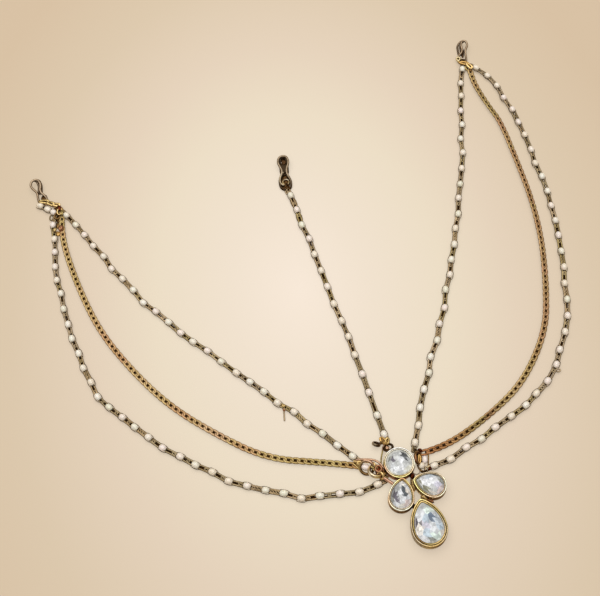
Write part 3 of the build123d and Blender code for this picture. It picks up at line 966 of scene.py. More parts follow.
# gold at the ends of the chain by the hook
curb_link(bag, M_TONE, 0.6, flat_at(-147.3, 154.9, 2.0, turn=-12), half=2.3,
          wide=0.72, wire=0.55, end_wire=0.55, twist=0.3, tone="straw")
curb_link(bag, M_TONE, 0.6, flat_at(-144.0, 153.1, 2.3, turn=-30), half=1.9,
          wide=0.70, wire=0.52, end_wire=0.5, twist=0.35, tone="straw")
curb_link(bag, M_TONE, 0.6, flat_at(-141.2, 151.9, 2.2, turn=-20), half=1.7,
          wide=0.66, wire=0.50, end_wire=0.5, twist=0.3, tone="gold")
ring_link(bag, M_TONE, 0.5, flat_at(-139.6, 147.6, 2.4, turn=80, tilt_x=10),
          r=1.75, rx=0.34, rz=0.30, squash=0.60, tone="gold")
lump(bag, -141.6, 149.3, 1.5, 1.7, 1.1, 0.8, -20, "umber", 23, M_TONE)
lump(bag, -148.3, 154.6, 0.9, 1.6, 0.9, 0.8, 10, "brown", 24, M_TONE)
lump(bag, -147.5, 157.9, 0.75, 1.75, 1.6, 0.45, -30, "umber", 27, M_TONE)
lump(bag, -139.7, 149.6, 2.3, 0.85, 1.7, 0.85, 12, "red", 71, M_TONE)
lump(bag, -138.5, 147.0, 2.0, 0.7, 1.9, 0.8, 10, "olive", 72, M_TONE)
ring_link(bag, M_TONE, 0.5, flat_at(-140.9, 145.6, 1.9, turn=85, tilt_x=12),
          r=1.75, rx=0.42, rz=0.36, squash=0.68, tone="brown")
lump(bag, -139.3, 138.4, 1.9, 1.25, 1.9, 0.85, -15, "copper", 73, M_TONE)
lump(bag, -142.3, 138.2, 1.5, 1.0, 1.0, 0.75, 0, "straw", 74, M_TONE)
lump(bag, -140.7, 135.7, 1.4, 1.15, 1.35, 0.8, -10, "amber", 75, M_TONE)
lump(bag, -142.0, 136.6, 1.0, 0.9, 0.7, 0.8, 0, "umber", 76, M_TONE)
lump(bag, -141.3, 148.0, 1.2, 1.2, 1.5, 0.75, 0, "red", 77, M_TONE)
lump(bag, -140.75, 144.1, 0.9, 1.1, 2.1, 0.70, 0, "umber", 78, M_TONE)
lump(bag, -140.95, 140.7, 0.9, 1.0, 1.9, 0.70, 0, "brown", 79, M_TONE)

# right: pearls hung on thin wire between the right ring and the right pear
bag = made["right_inner_pearl_strand"][1]
wire(bag, M_LINK, 0.1, [(8.0, 7.6, 1.2), (7.4, 6.6, 1.5), (7.1, 5.4, 2.2),
                        (7.0, 4.2, 2.9)], r=0.26)
bag = made["right_outer_pearl_strand"][1]
pearl(bag, M_PEARL, 0.55, flat_at(10.9, 0.3, 1.6, turn=80), seed=8,
      h=1.75, r=1.25)
pearl(bag, M_PEARL, 0.1, flat_at(9.15, -2.0, 1.55, turn=60), seed=9, r=1.32,
      h=1.5)
wire(bag, M_TONE, 0.2, [(13.0, 2.9, 1.1), (12.5, 0.8, 1.0), (12.0, -1.5, 0.9),
                        (11.7, -3.6, 0.9)], r=0.32, tone="brown")
wire(bag, M_TONE, 0.3, [(7.7, 0.6, 1.2), (7.5, -1.8, 0.9), (8.4, -3.9, 0.8),
                        (10.2, -4.5, 0.8), (12.2, -3.9, 0.9)], r=0.40,
     tone="brown")
lump(bag, 12.4, -3.5, 1.15, 1.25, 0.75, 0.9, 25, "red", 31, M_TONE)
lump(bag, 9.9, -4.35, 1.0, 1.5, 0.55, 0.8, 0, "umber", 32, M_TONE)
ring_link(bag, M_LINK, 0.5, flat_at(6.6, -3.5, 0.9, turn=70, tilt_x=10),
          r=1.55, rx=0.2, rz=0.2, squash=1.0, gap=50)
bag = made["right_curb_chain"][1]
# gold link in the right ring and dark links by the round setting
curb_link(bag, M_TONE, 0.6, flat_at(8.75, 0.75, 2.6, turn=78), half=1.6,
          wide=0.42, wire=0.44, end_wire=0.42, twist=0.3, tone="amber")
lump(bag, 7.95, 1.2, 1.6, 0.75, 2.2, 0.9, 0, "brown", 45, M_TONE)
lump(bag, 8.1, 4.1, 1.7, 0.62, 1.5, 1.0, 8, "umber", 41, M_TONE)
lump(bag, 9.7, 4.6, 1.5, 1.1, 0.7, 0.9, -20, "red", 42, M_TONE)
# gold at the hook's end
curb_link(bag, M_TONE, 0.6, flat_at(70.2, 200.9, 2.2, turn=-24), half=2.2,
          wide=0.66, wire=0.55, end_wire=0.5, twist=0.25, tone="amber")
curb_link(bag, M_TONE, 0.6, flat_at(72.6, 198.5, 2.4, turn=-62), half=2.0,
          wide=0.74, wire=0.55, end_wire=0.5, twist=0.3, tone="gold")
ring_link(bag, M_GOLD, 0.6, flat_at(68.2, 204.3, 1.7, turn=-20, tilt_x=30),
          r=0.85, rx=0.45, rz=0.42)
lump(bag, 70.3, 203.1, 1.3, 1.3, 0.9, 0.9, 0, "umber", 43, M_TONE)
lump(bag, 71.45, 208.6, 0.55, 0.95, 3.0, 0.40, -10, "umber", 46, M_TONE)
lump(bag, 72.9, 196.6, 1.2, 0.8, 1.3, 0.8, -10, "brown", 44, M_TONE)
bag = made["right_outer_pearl_strand"][1]
# a link's corner that sticks out of the strand
ring_link(bag, M_LINK, 0.5, flat_at(74.7, 30.3, 1.2, turn=-5, tilt_x=15),
          r=0.95, rx=0.32, rz=0.30, squash=0.6)
ring_link(bag, M_LINK, 0.5, flat_at(74.6, 198.4, 1.3, turn=-30, tilt_x=40),
          r=0.95, rx=0.25, rz=0.25, squash=0.8)

for name, (rail, bag) in made.items():
    ob = bag.build(name + "_look", SET)
    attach(ob, "root")
    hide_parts(name)

# -------------------------------------------------------------------- settings
SETTINGS = {
    # x, y of the round end's centre, outside half width, centre to tip
    # (0: round), tip degrees, how far the lip reaches over the stone
    "round":      (0.0,   0.0,    6.20,  0.0,    0.0, 0.88),
    "left_pear":  (-1.80, -14.60, 5.05,  8.25,  76.0, 0.82),
    "right_pear": (12.10, -11.25, 5.05,  8.35, 155.5, 0.82),
    "large_pear": (7.15,  -28.25, 6.95, 12.25,  96.5, 1.16),
}
# Plating and wear round each setting, with painted highlights and shade:
# direction seen from its middle in degrees, then the colours of the lip, the
# ridge, the wall and the foot.
PLATING_WITH_LIGHT = {
    "round": [
        (0,   "cream",    "cream",    "brown",    "brown"),
        (60,  "pale",     "pale",     "straw",    "straw"),
        (120, "pale",     "pale",     "olive",    "straw"),
        (175, "cream",    "olive",    "olive",    "olive"),
        (215, "cream",    "rosy",     "brown",    "copper"),
        (250, "olive",    "gold",     "copper",   "copper"),
        (285, "straw",    "gold",     "brown",    "copper"),
        (320, "cream",    "rosy",     "umber",    "brown")],
    "left_pear": [
        (0,   "olive",    "tan",      "straw",    "straw"),
        (62,  "straw",    "gold",     "olive",    "straw"),
        (76,  "brown",    "copper",   "brown",    "brown"),
        (90,  "straw",    "gold",     "olive",    "straw"),
        (130, "greygold", "cream",    "tan",      "greygold"),
        (180, "greygold", "tan",      "tan",      "tan"),
        (235, "greygold", "cream",    "tan",      "brown"),
        (285, "cream",    "cream",    "tan",      "brown"),
        (330, "olive",    "tan",      "olive",    "umber")],
    "right_pear": [
        (0,   "greygold", "cream",    "olive",    "tan"),
        (60,  "greygold", "greygold", "brown",    "olive"),
        (120, "greygold", "greygold", "olive",    "brown"),
        (158, "olive",    "gold",     "olive",    "gold"),
        (205, "olive",    "gold",     "straw",    "straw"),
        (245, "tan",      "rosy",     "tan",      "copper"),
        (275, "tan",      "rosy",     "tan",      "brown"),
        (320, "tan",      "cream",    "tan",      "brown")],
    "large_pear": [
        (0,   "greygold", "olive",    "tan",      "brown"),
        (40,  "olive",    "olive",    "tan",      "greygold"),
        (75,  "olive",    "straw",    "straw",    "straw"),
        (97,  "straw",    "gold",     "olive",    "gold"),
        (130, "olive",    "straw",    "olive",    "greygold"),
        (180, "olive",    "greygold", "brown",    "greygold"),
        (230, "brown",    "greygold", "olive",    "greygold"),
        (262, "olive",    "straw",    "straw",    "straw"),
        (290, "straw",    "straw",    "tan",      "brown"),
        (318, "straw",    "greygold", "tan",      "brown")],
}
# Sections of a setting: out from the outline and up, mm; which plating column;
# how bright the metal is there, painted highlights on the tops against painted
# shade in the grooves.
WALL = [(-0.74, 1.10, 2, .3), (-0.74, 4.40, 2, .3), (-0.60, 4.46, 2, .25),
        (-0.22, 4.40, 2, .25), (-0.10, 4.20, 2, .6), (-0.16, 3.95, 2, .7),
        (-0.24, 3.60, 2, .6), (-0.10, 3.35, 2, .9), (-0.02, 3.05, 2, 1.1),
        (-0.08, 2.75, 2, .9), (-0.24, 2.50, 2, .6), (-0.26, 2.05, 2, .5),
        (-0.10, 1.80, 3, .6), (0.10, 1.55, 3, 0.8), (0.24, 1.15, 3, .7),
        (0.33, 0.90, 3, .55), (0.36, 0.50, 3, .5), (0.30, 0.06, 3, .4),
        (0.20, 0.00, 3, .6), (-0.74, 0.00, 3, .8)]
# Brightness round a ridge's section, from outward: painted highlight on its top, painted shade
# under it.
RIDGE_LIGHT = [1.0, 1.4, 1.45, 1.3, .4, .15, .2, .6]
N_ROUND = 168


def rounds(r, tip, grow):
    """Outline grown by grow mm, local frame with the tip along +Y."""
    n = N_ROUND
    if not tip:
        a = np.arange(n) * 2 * math.pi / n - math.pi / 2
        return np.stack([(r + grow) * np.cos(a), (r + grow) * np.sin(a)], 1)
    k = (tip * tip - r * r) / (2 * r)
    big = k + r + grow
    half = n // 2
    low = half // 2                # points of each quarter of the round end
    high = half - low
    a = -math.pi / 2 + np.arange(low) * (math.pi / 2) / low
    p1 = np.stack([(r + grow) * np.cos(a), (r + grow) * np.sin(a)], 1)
    end = math.acos(k / big)
    b = np.arange(high + 1) * end / high
    p2 = np.stack([big * np.cos(b) - k, big * np.sin(b)], 1)
    right = np.concatenate([p1, p2])             # from the bottom to the tip
    left = right[1:-1][::-1] * (-1, 1)
    p = np.concatenate([right, left])
    # the tip is a little rounded
    for _ in range(5):
        q = (np.roll(p, 1, 0) + np.roll(p, -1, 0)) / 2
        w = np.exp(-((np.arange(len(p)) - half) / 3.0) ** 2)[:, None] * 0.8
        p = p * (1 - w) + q * w
    return p


def plating_with_light(name, pts, column):
    """Colour of each point from the plating table, painted light and shade included."""
    rows = PLATING_WITH_LIGHT[name]
    mid = pts.mean(0)
    ang = np.degrees(np.arctan2(pts[:, 1] - mid[1], pts[:, 0] - mid[0])) % 360
    deg = np.array([q[0] for q in rows] + [rows[0][0] + 360], float)
    col = np.array([GOLD_TONES[q[1 + column]] for q in rows]
                   + [GOLD_TONES[rows[0][1 + column]]])
    return np.stack([np.interp(ang, deg, col[:, i]) for i in range(3)], 1)


def sweep_section(bag, name, section, place, turn, base):
    """Closed section carried round a setting; section rows are (out, up,
    plating column, brightness), the brightness painting highlight and shade."""
    r, tip = base
    n, m = N_ROUND, len(section)
    v = np.zeros((n, m, 3))
    tone = np.zeros((n, m, 3))
    for j, (g, z, column, bright) in enumerate(section):
        q = rounds(r, tip, g)
        v[:, j, :2] = q
        v[:, j, 2] = z
        tone[:, j] = np.minimum(plating_with_light(name, q @ turn.T, column) * bright,
                                0.96)
    bag.add(v.reshape(-1, 3), grid_faces(n, m)[:, ::-1], 0, 0.5, place,
            None, tone.reshape(-1, 3))


def bead_row(bag, name, grow, z, r0, step, place, turn, base, lo, hi):
    """Row of fine beads along part of a ridge, between two directions."""
    q = rounds(base[0], base[1], grow)
    w = q @ turn.T
    mid = w.mean(0)
    ang = np.degrees(np.arctan2(w[:, 1] - mid[1], w[:, 0] - mid[0]))
    ang = (ang - lo) % 360
    keep = np.nonzero(ang <= (hi - lo) % 360)[0]
    order = keep[np.argsort(ang[keep])]
    line = q[order]
    s = np.r_[0, np.cumsum(np.linalg.norm(np.diff(line, axis=0), axis=1))]
    k = int(s[-1] / step)
    u = np.linspace(0, s[-1], k * 6 + 1)
    pts = np.stack([np.interp(u, s, line[:, 0]), np.interp(u, s, line[:, 1]),
                    np.full(len(u), z)], 1)
    rad = r0 * (0.45 + 0.55 * np.abs(np.sin(np.arange(len(u)) * math.pi / 6)))
    tone = plating_with_light(name, pts[:, :2] @ turn.T, 1)
    tone = np.concatenate([np.repeat(tone, 8, 0), tone[:1], tone[-1:],
                           np.ones((16, 3)) * tone[0]])
    # beads painted a quarter lighter than the ridge: painted highlight
    add_tube(bag, pts, rad, rad, 0, 0.5, place, m=8, closed=False,
             tone=np.minimum(tone * 1.25, 0.95))


bag = Bag()
for name, (x, y, r, tip, deg, reach) in SETTINGS.items():
    spin = math.radians(deg - 90 if tip else 0)
    turn = np.array([[math.cos(spin), -math.sin(spin)],
                     [math.sin(spin), math.cos(spin)]])
    place = (Matrix.Translation(Vector((x, y, 0)) * MM)
             @ Matrix.Rotation(spin, 4, "Z"))
    base = (r, tip)
    sweep_section(bag, name, WALL, place, turn, base)
    # lip bent over the stone's edge; its brightness paints a highlight on top and shade in the
    # groove behind it, the groove shallower and lighter on the round setting
    k, dip = (2.0, 0.12) if name == "round" else (1.0, 0.0)
    lip = [(-reach, 4.64, 0, .3 * k), (-reach + 0.03, 4.74, 0, .6),
           (-reach * 0.75, 4.82, 0, 1.0), (-reach * 0.52, 4.78, 0, .9),
           (-0.38, 4.62 + dip * 0.6, 0, .3 * k), (-0.32, 4.46 + dip, 0, .12 * k),
           (-0.42, 4.40 + dip, 0, .12 * k), (-reach + 0.05, 4.56, 0, .15 * k)]
    sweep_section(bag, name, lip, place, turn, base)
    # round ridge outside it, and a finer one on the foot
    for g0, z0, rad, column in ((-0.04, 4.49, 0.30, 1), (0.27, 1.02, 0.11, 3)):
        ring = [(g0 + rad * math.cos(k * math.pi / 4),
                 z0 + rad * math.sin(k * math.pi / 4), column, RIDGE_LIGHT[k])
                for k in range(8)]
        sweep_section(bag, name, ring, place, turn, base)
    # closed back: the plate's underside and the floor of the seat
    for z, up in ((0.0, False), (1.15, True)):
        rings = [rounds(r, tip, -0.70) * k for k in (1.0, 0.72, 0.44, 0.16)]
        off = np.array([0.0, tip * 0.12])
        v = np.concatenate([np.c_[q + off * (1 - k), np.full(len(q), z)]
                            for q, k in zip(rings, (1, .72, .44, .16))])
        v = np.concatenate([v, [[off[0], off[1], z]]])
        n = N_ROUND
        f = grid_faces(4, n, close_n=False)
        j = np.arange(0, n, 2)
        cap = np.stack([np.full(len(j), 4 * n), 3 * n + j, 3 * n + (j + 1) % n,
                        3 * n + (j + 2) % n], 1)
        f = np.concatenate([f, cap[:, ::-1]])
        bag.add(v, f if not up else f[:, ::-1], 0, 0.5, place, None,
                GOLD_TONES["straw"])
    if name == "large_pear":
        bead_row(bag, name, 0.12, 4.36, 0.24, 0.62, place, turn, base, -35, 84)
    if name == "right_pear":
        bead_row(bag, name, 0.05, 4.50, 0.22, 0.60, place, turn, base, -20, 60)

# joints between the settings: x, y, z, half sizes, turn, colour
for i, row in enumerate([
        (0.05, -7.05, 1.7, 1.2, 0.9, 1.7, 0, "brown"),
        (4.45, -5.75, 1.7, 1.15, 1.35, 1.85, 40, "red"),
        (3.95, -9.70, 1.9, 0.95, 2.6, 2.0, 8, "gold"),
        (3.05, -18.10, 1.5, 1.0, 1.2, 1.6, 0, "umber"),
        (7.60, -16.50, 1.6, 1.5, 1.1, 1.8, 20, "straw"),
        (7.40, -15.35, 2.2, 1.7, 0.95, 1.9, -24, "gold"),
        (10.2, -15.75, 2.1, 1.5, 0.70, 1.6, 4, "amber"),
        (9.6, -16.8, 1.6, 1.6, 0.75, 1.6, -8, "copper"),
        (10.1, -17.25, 1.0, 1.1, 0.5, 1.0, -12, "umber")]):
    x, y, z, rx, ry, rz, t, tone = row
    lump(bag, x, y, z, rx, ry, rz, t, tone, seed=i)


toned_ring(bag, 0, flat_at(-3.15, 7.50, 2.30, turn=18, tilt_x=-30), 1.85, 0.56,
           "umber")
loop = (flat_at(-9.95, -1.70, 2.35, turn=-29, tilt_x=-30)
        @ Matrix.Rotation(math.radians(-25), 4, "Z")
        @ Matrix.Translation(Vector((2.8, 0, 0)) * MM)
        @ Matrix.Rotation(math.radians(90), 4, "X"))
toned_ring(bag, 0, loop, 1.45, 0.56, "gold")
start = np.array(loop @ (Vector((1.45, 0, 0)) * MM)) / MM
u = np.linspace(0, 1, 9)[:, None]
line = start * (1 - u) + np.array([-2.6, -9.0, 2.05]) * u
add_tube(bag, line, 0.66, 0.66, 0, 0.5, None, m=12, closed=False,
         tone=(0.60, 0.35, 0.235))
lump(bag, -6.7, -4.55, 1.9, 1.35, 1.15, 1.1, -25, "gold", 51)
lump(bag, -6.35, -4.05, 2.9, 0.45, 0.42, 0.35, -25, "umber", 52)
ob = bag.build("setting_frame_look", [MAT["plated"]])
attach(ob, "root")
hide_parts("setting_frame")

# ---------------------------------------------------------------------- stones
BACK_T, SEAT_T, GIRDLE_Z = 1.2, 0.3, 4.25
GEMS = {
    # x, y of the centre, half width, centre to tip (0 for round), tip degrees
    "round_stone":      (0.0,   0.0,    5.50,  0.0,    0.0),
    "left_pear_stone":  (-1.80, -14.60, 4.35,  7.20,  76.0),
    "right_pear_stone": (12.10, -11.25, 4.35,  7.30, 155.5),
    "large_pear_stone": (7.15,  -28.25, 6.25, 11.20,  96.5),
}

# Colours that the cut and the foil behind it throw back, painted on the facets as reflections.
TONES = {
    "white": (0.82, 0.83, 0.85), "pale": (0.60, 0.66, 0.72),
    "cream": (0.86, 0.80, 0.72), "lilac": (0.66, 0.64, 0.74),
    "grey": (0.54, 0.55, 0.54), "dull": (0.33, 0.33, 0.29),
    "olive": (0.30, 0.29, 0.19), "slate": (0.040, 0.052, 0.062),
    "dusk": (0.105, 0.090, 0.115), "mint": (0.76, 0.88, 0.80),
    "pink": (0.80, 0.66, 0.62), "ice": (0.78, 0.77, 0.67),
    "steel": (0.105, 0.110, 0.112), "blue": (0.12, 0.165, 0.235),
    "sky": (0.52, 0.62, 0.70), "pearly": (0.70, 0.72, 0.74),
}
# Painted reflections: where each stone looks dark or bright, x, y on the part in mm, tone.
FLASH = {
    "round_stone": [
        (-1.4, 4.2, "grey"), (0.6, 4.2, "grey"), (2.3, 3.5, "steel"),
        (3.0, 1.6, "steel"), (2.1, 2.5, "steel"), (4.6, 3.0, "ice"),
        (4.9, 0.4, "grey"), (-3.9, 1.7, "dull"), (-2.5, 1.2, "dusk"),
        (-4.0, 0.3, "grey"), (-5.0, 2.9, "ice"), (-5.1, 0.2, "dull"),
        (-4.9, 1.4, "grey"), (-1.3, 2.1, "grey"),
        (0.6, 0.4, "white"), (1.0, 1.2, "pearly"), (-2.6, -1.7, "pearly"),
        (-0.9, -0.3, "grey"), (2.4, -1.4, "grey"), (3.7, -3.1, "ice"),
        (-0.6, -4.3, "pearly"), (-3.3, -3.3, "white"), (0.2, -2.4, "white")],
    "left_pear_stone": [
        (0.4, -8.9, "cream"), (1.3, -9.9, "white"), (-0.5, -11.1, "slate"),
        (-0.3, -12.1, "slate"), (0.0, -13.1, "slate"), (-1.7, -12.6, "pearly"),
        (1.2, -12.4, "cream"), (2.2, -13.4, "cream"), (1.2, -14.9, "pearly"),
        (-2.2, -10.6, "grey"), (-3.9, -12.4, "dusk"), (-4.0, -13.7, "dusk"),
        (-3.3, -15.1, "dusk"), (-2.4, -14.4, "grey"), (-4.3, -16.7, "white"),
        (-1.4, -15.6, "pearly"), (0.2, -17.0, "pink"), (-5.4, -14.2, "dull"),
        (-5.0, -12.6, "dull"), (-2.4, -18.3, "cream")],
    "right_pear_stone": [
        (5.9, -8.3, "olive"), (8.6, -7.9, "white"), (9.2, -10.4, "white"),
        (11.0, -7.2, "pale"), (13.3, -6.6, "slate"), (12.6, -9.4, "white"),
        (11.5, -12.9, "grey"), (13.4, -11.6, "lilac"), (8.2, -12.6, "olive"),
        (10.6, -14.6, "cream"), (16.0, -9.6, "dull"), (14.4, -14.0, "pink")],
    "large_pear_stone": [
        (5.6, -18.9, "grey"), (5.0, -21.8, "pearly"), (7.6, -20.6, "mint"),
        (9.8, -22.4, "pearly"), (8.9, -23.5, "blue"), (8.3, -24.4, "blue"),
        (6.4, -24.2, "sky"), (2.9, -23.0, "white"), (1.9, -25.6, "dusk"),
        (3.2, -27.8, "cream"), (6.2, -27.2, "lilac"), (8.2, -26.8, "pearly"),
        (10.6, -25.6, "pale"), (11.4, -28.6, "sky"), (12.8, -26.4, "dull"),
        (5.4, -29.8, "sky"), (8.8, -31.2, "mint"), (7.4, -33.8, "dull"),
        (3.8, -31.8, "white"), (12.6, -30.6, "cream"), (9.2, -29.0, "pearly")],
}
# How bright each stone is on the whole.
SHADE = {"round_stone": 1.08, "left_pear_stone": 1.05,
         "right_pear_stone": 0.98, "large_pear_stone": 0.90}
# What the outermost facets of each stone show, a painted reflection, and how much of it.
EDGE = {"round_stone": ("ice", 0.55), "left_pear_stone": ("grey", 0.35),
        "right_pear_stone": ("grey", 0.35), "large_pear_stone": ("cream", 0.3)}


def gem_outline(r, tip, a):
    """Point of the girdle at angle a, measured from the round end's middle."""
    x, y = math.sin(a), -math.cos(a)
    if not tip or y <= 0:
        return np.array([r * x, r * y])
    # upper part: two arcs that meet at the tip, as the bezel's do
    k = (tip * tip - r * r) / (2 * r)
    yy = tip * y
    return np.array([math.copysign(math.sqrt((k + r) ** 2 - yy * yy) - k, x),
                     yy])


def gem(name):
    """Cut stone: rows of facets from the girdle to a low faceted crown, a
    thin girdle, and a pavilion below it."""
    x0, y0, r, tip, d = GEMS[name]
    n = {"round_stone": 11, "large_pear_stone": 13}.get(name, 10)
    zg = GIRDLE_Z + 0.10
    centre = np.array([0.0, (tip - r) * 0.35 if tip else 0.0])
    rows = [  # share of the girdle, height above it, half step turned
        (1.00, 0.00, 0), (0.85, 0.42, 1), (0.67, 0.84, 0), (0.46, 1.14, 1),
        (0.24, 1.28, 0)]
    verts, faces = [], []

    def row(share, z, half):
        out = []
        for k in range(n):
            a = 2 * math.pi * (k + 0.5 * half) / n
            p = centre + (gem_outline(r, tip, a) - centre) * share
            out.append(len(verts))
            verts.append((p[0], p[1], z))
        return out

    # the girdle has twice as many corners
    G = []
    for k in range(2 * n):
        p = gem_outline(r, tip, math.pi * k / n)
        G.append(len(verts))
        verts.append((p[0], p[1], zg))
    L = []
    for k in range(2 * n):
        L.append(len(verts))
        verts.append((verts[G[k]][0], verts[G[k]][1], zg - 0.12))
    made_rows = [row(share, zg + z, half) for share, z, half in rows[1:]]
    first = made_rows[0]
    for k in range(n):
        k2 = (k + 1) % n
        g0, g1, g2 = G[2 * k], G[2 * k + 1], G[(2 * k + 2) % (2 * n)]
        faces += [(g0, g1, first[k]), (g1, g2, first[k])]
        faces.append((first[k], g2, first[k2]))
    for i, (lo, hi) in enumerate(zip(made_rows, made_rows[1:])):
        shift = rows[i + 1][2]
        for k in range(n):
            k2 = (k + 1) % n
            if shift:      # the lower row is the turned one
                faces += [(lo[k], lo[k2], hi[k2]), (lo[k], hi[k2], hi[k])]
            else:
                faces += [(lo[k], lo[k2], hi[k]), (lo[k2], hi[k2], hi[k])]
    top = made_rows[-1]
    verts.append((centre[0] * 0.3, centre[1] + 0.2, zg + 1.30))
    for k in range(n):
        faces.append((top[k], top[(k + 1) % n], len(verts) - 1))
    for k in range(2 * n):
        k2 = (k + 1) % (2 * n)
        faces.append((L[k], L[k2], G[k2], G[k]))
    zb = BACK_T + SEAT_T + 0.25
    P1 = row(0.55, zb + 1.15, 0)
    P2 = row(0.22, zb, 1)
    for k in range(n):
        k2 = (k + 1) % n
        faces.append((L[2 * k], P1[k], L[2 * k + 1]))
        faces.append((L[2 * k + 1], P1[k2], L[(2 * k + 2) % (2 * n)]))
        faces.append((L[2 * k + 1], P1[k], P2[k], P1[k2]))
        faces.append((P1[k], P2[(k - 1) % n], P2[k]))
    faces.append(tuple(P2[::-1]))
    return verts, faces, (x0, y0, d)


def gem_object(name):
    verts, faces, (x0, y0, d) = gem(name)
    me = bpy.data.meshes.new(name + "_look")
    ang = math.radians(d - 90 if GEMS[name][3] else 20)
    rot = Matrix.Translation(Vector((x0, y0, 0)) * MM) @ Matrix.Rotation(
        ang, 4, "Z")
    co = [rot @ (Vector(v) * MM) for v in verts]
    me.from_pydata(co, [], faces)
    me.validate()
    bm = bmesh.new()
    bm.from_mesh(me)
    bmesh.ops.recalc_face_normals(bm, faces=bm.faces[:])
    bm.to_mesh(me)
    bm.free()
    ob = bpy.data.objects.new(name + "_look", me)
    bpy.context.scene.collection.objects.link(ob)
    rnd = random.Random(name)
    marks = [(Vector((x, y)) * MM, TONES[t]) for x, y, t in FLASH[name]]
    cols = []
    for f in me.polygons:
        c = f.center.xy
        near = sorted((((c - q).length / MM + rnd.uniform(0, 0.25)), t)
                      for q, t in marks)
        (d1, t1), (d2, t2) = near[0], near[1]
        w = 0.35 * math.exp(-max(0.0, d2 - d1) / 0.35)
        k = rnd.uniform(0.86, 1.12) * SHADE[name]
        col = [(u * (1 - w) + v * w) * k for u, v in zip(t1, t2)]
        if f.center.z / MM < GIRDLE_Z + 0.60:      # next to the lip: painted reflection of the outer facets
            tone, much = EDGE[name]
            col = [c * (1 - much) + e * much for c, e in zip(col, TONES[tone])]
        cols.append([min(0.95, c) for c in col] + [1.0])
    at = me.attributes.new("flash", "FLOAT_COLOR", "FACE")
    at.data.foreach_set("color", [x for c in cols for x in c])
    return ob


def crystal_material():
    """Cut glass over a silvered back, seen as bright and slate facets: painted reflections."""
    mat = bpy.data.materials.new("foiled_crystal")
    nt, bs, out = nodes_of(mat)
    co = coords(nt)
    a = nt.nodes.new("ShaderNodeAttribute")
    a.attribute_name = "flash"
    cells = nt.nodes.new("ShaderNodeTexVoronoi")
    cells.feature = "F1"
    cells.inputs["Scale"].default_value = 900.0
    nt.links.new(co, cells.inputs["Vector"])
    sep = nt.nodes.new("ShaderNodeSeparateColor")
    nt.links.new(cells.outputs["Color"], sep.inputs[0])
    k = nt_range(nt, sep.outputs[0], 0.0, 1.0, 0.70, 1.22)
    grey = nt.nodes.new("ShaderNodeCombineColor")
    for i in range(3):
        nt.links.new(k, grey.inputs[i])
    col = mix(nt, 1.0, a.outputs["Color"], grey.outputs[0], "MULTIPLY")
    nt.links.new(col, bs.inputs["Base Color"])
    bs.inputs["Metallic"].default_value = 0.08
    bs.inputs["Roughness"].default_value = 0.20
    bs.inputs["Specular IOR Level"].default_value = 0.28
    bs.inputs["Coat Weight"].default_value = 0.35
    bs.inputs["Coat Roughness"].default_value = 0.04
    return mat


MAT["crystal"] = crystal_material()
for name in GEMS:
    ob = gem_object(name)
    ob.data.materials.append(MAT["crystal"])
    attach(ob, "root")
    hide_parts(name)

# ------------------------------------------------------------------ the rings
# x, y, z, radius, half width across and along, tilt x, tilt y, turn as in the
# solids; then colours round the ring, plating with painted highlights and
# shade, and the painted shade inside it.
BANDS = {
    "top_ring": (-7.80, 9.85, 1.70, 1.50, 0.42, 0.62, -55, 0, -27,
                 [(0, "tan"), (35, "brown"), (100, "umber"), (170, "brown"),
                  (235, "greygold"), (290, "umber"), (335, "brown")],
                 "near_black"),
    "left_ring_outer": (-13.40, 0.45, 2.35, 2.90, 0.62, 0.72, 35, 0, -29,
                        [(0, "brown"), (60, "pinkish"), (120, "pinkish"),
                         (170, "gold"), (215, "straw"), (250, "umber"),
                         (300, "brown")], "brown"),
    "left_ring_inner": (-9.95, -1.70, 2.35, 2.80, 0.74, 0.84, -30, 0, -29,
                        [(0, "copper"), (50, "pinkish"), (110, "amber"),
                         (180, "gold"), (240, "cream"), (300, "straw"),
                         (335, "copper")], "red"),
    "right_ring": (8.20, 1.15, 2.75, 2.55, 0.52, 0.60, 0, 60, -8,
                   [(0, "straw"), (60, "olive"), (110, "brown"), (160, "brown"),
                    (200, "copper"), (250, "brown"), (310, "straw")], "red"),
    "centre_hook_ring": (-28.80, 146.10, 0.62, 1.45, 0.45, 0.45, 0, 0, 0,
                         [(0, "olive"), (60, "cream"), (130, "greygold"),
                          (200, "straw"), (280, "greygold")], "umber"),
}
for name, (x, y, z, r, across, along, tx, ty, tz, tones, inner) in (
        BANDS.items()):
    bag = Bag()
    place = (Matrix.Translation(Vector((x, y, z)) * MM)
             @ Matrix.Rotation(math.radians(tz), 4, "Z")
             @ Matrix.Rotation(math.radians(tx), 4, "X")
             @ Matrix.Rotation(math.radians(ty), 4, "Y"))
    band_ring(bag, 0, place, r, across, along, tones, inner=inner)
    if name == "top_ring":       # the disc that closes its back, near black: tarnish and painted shade inside the ring
        n, m = 4, 40
        rows = np.array([(0.96, -0.32), (0.96, 0.02), (0.5, 0.02),
                         (0.08, 0.02)])
        t = np.arange(m) * 2 * math.pi / m
        v = np.concatenate([np.stack([r * k * np.cos(t), r * k * np.sin(t),
                                      0 * t + h], 1) for k, h in
                            [(0.08, -0.32), (0.5, -0.32), *rows]])
        v = np.concatenate([v, [[0, 0, 0.02], [0, 0, -0.32]]])
        f = grid_faces(6, m, close_n=False)[:, ::-1]
        j = np.arange(0, m, 2)
        top = np.stack([np.full(len(j), 6 * m), 5 * m + j,
                        5 * m + (j + 1) % m, 5 * m + (j + 2) % m], 1)
        low = np.stack([np.full(len(j), 6 * m + 1), (j + 2) % m, (j + 1) % m,
                        j], 1)
        bag.add(v, np.concatenate([f, top, low]), 0, 0.5, place, None,
                GOLD_TONES["near_black"])
    ob = bag.build(name + "_look", [MAT["plated"]])
    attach(ob, "root")
    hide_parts(name)

# --------------------------------------------------- CAD pieces carried over
LOOKS = {"left_hook": "hook", "centre_hook": "shaded", "right_hook": "hook"}
for node, look in LOOKS.items():
    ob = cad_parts[node]
    ob.data.materials.clear()
    ob.data.materials.append(MAT[look])

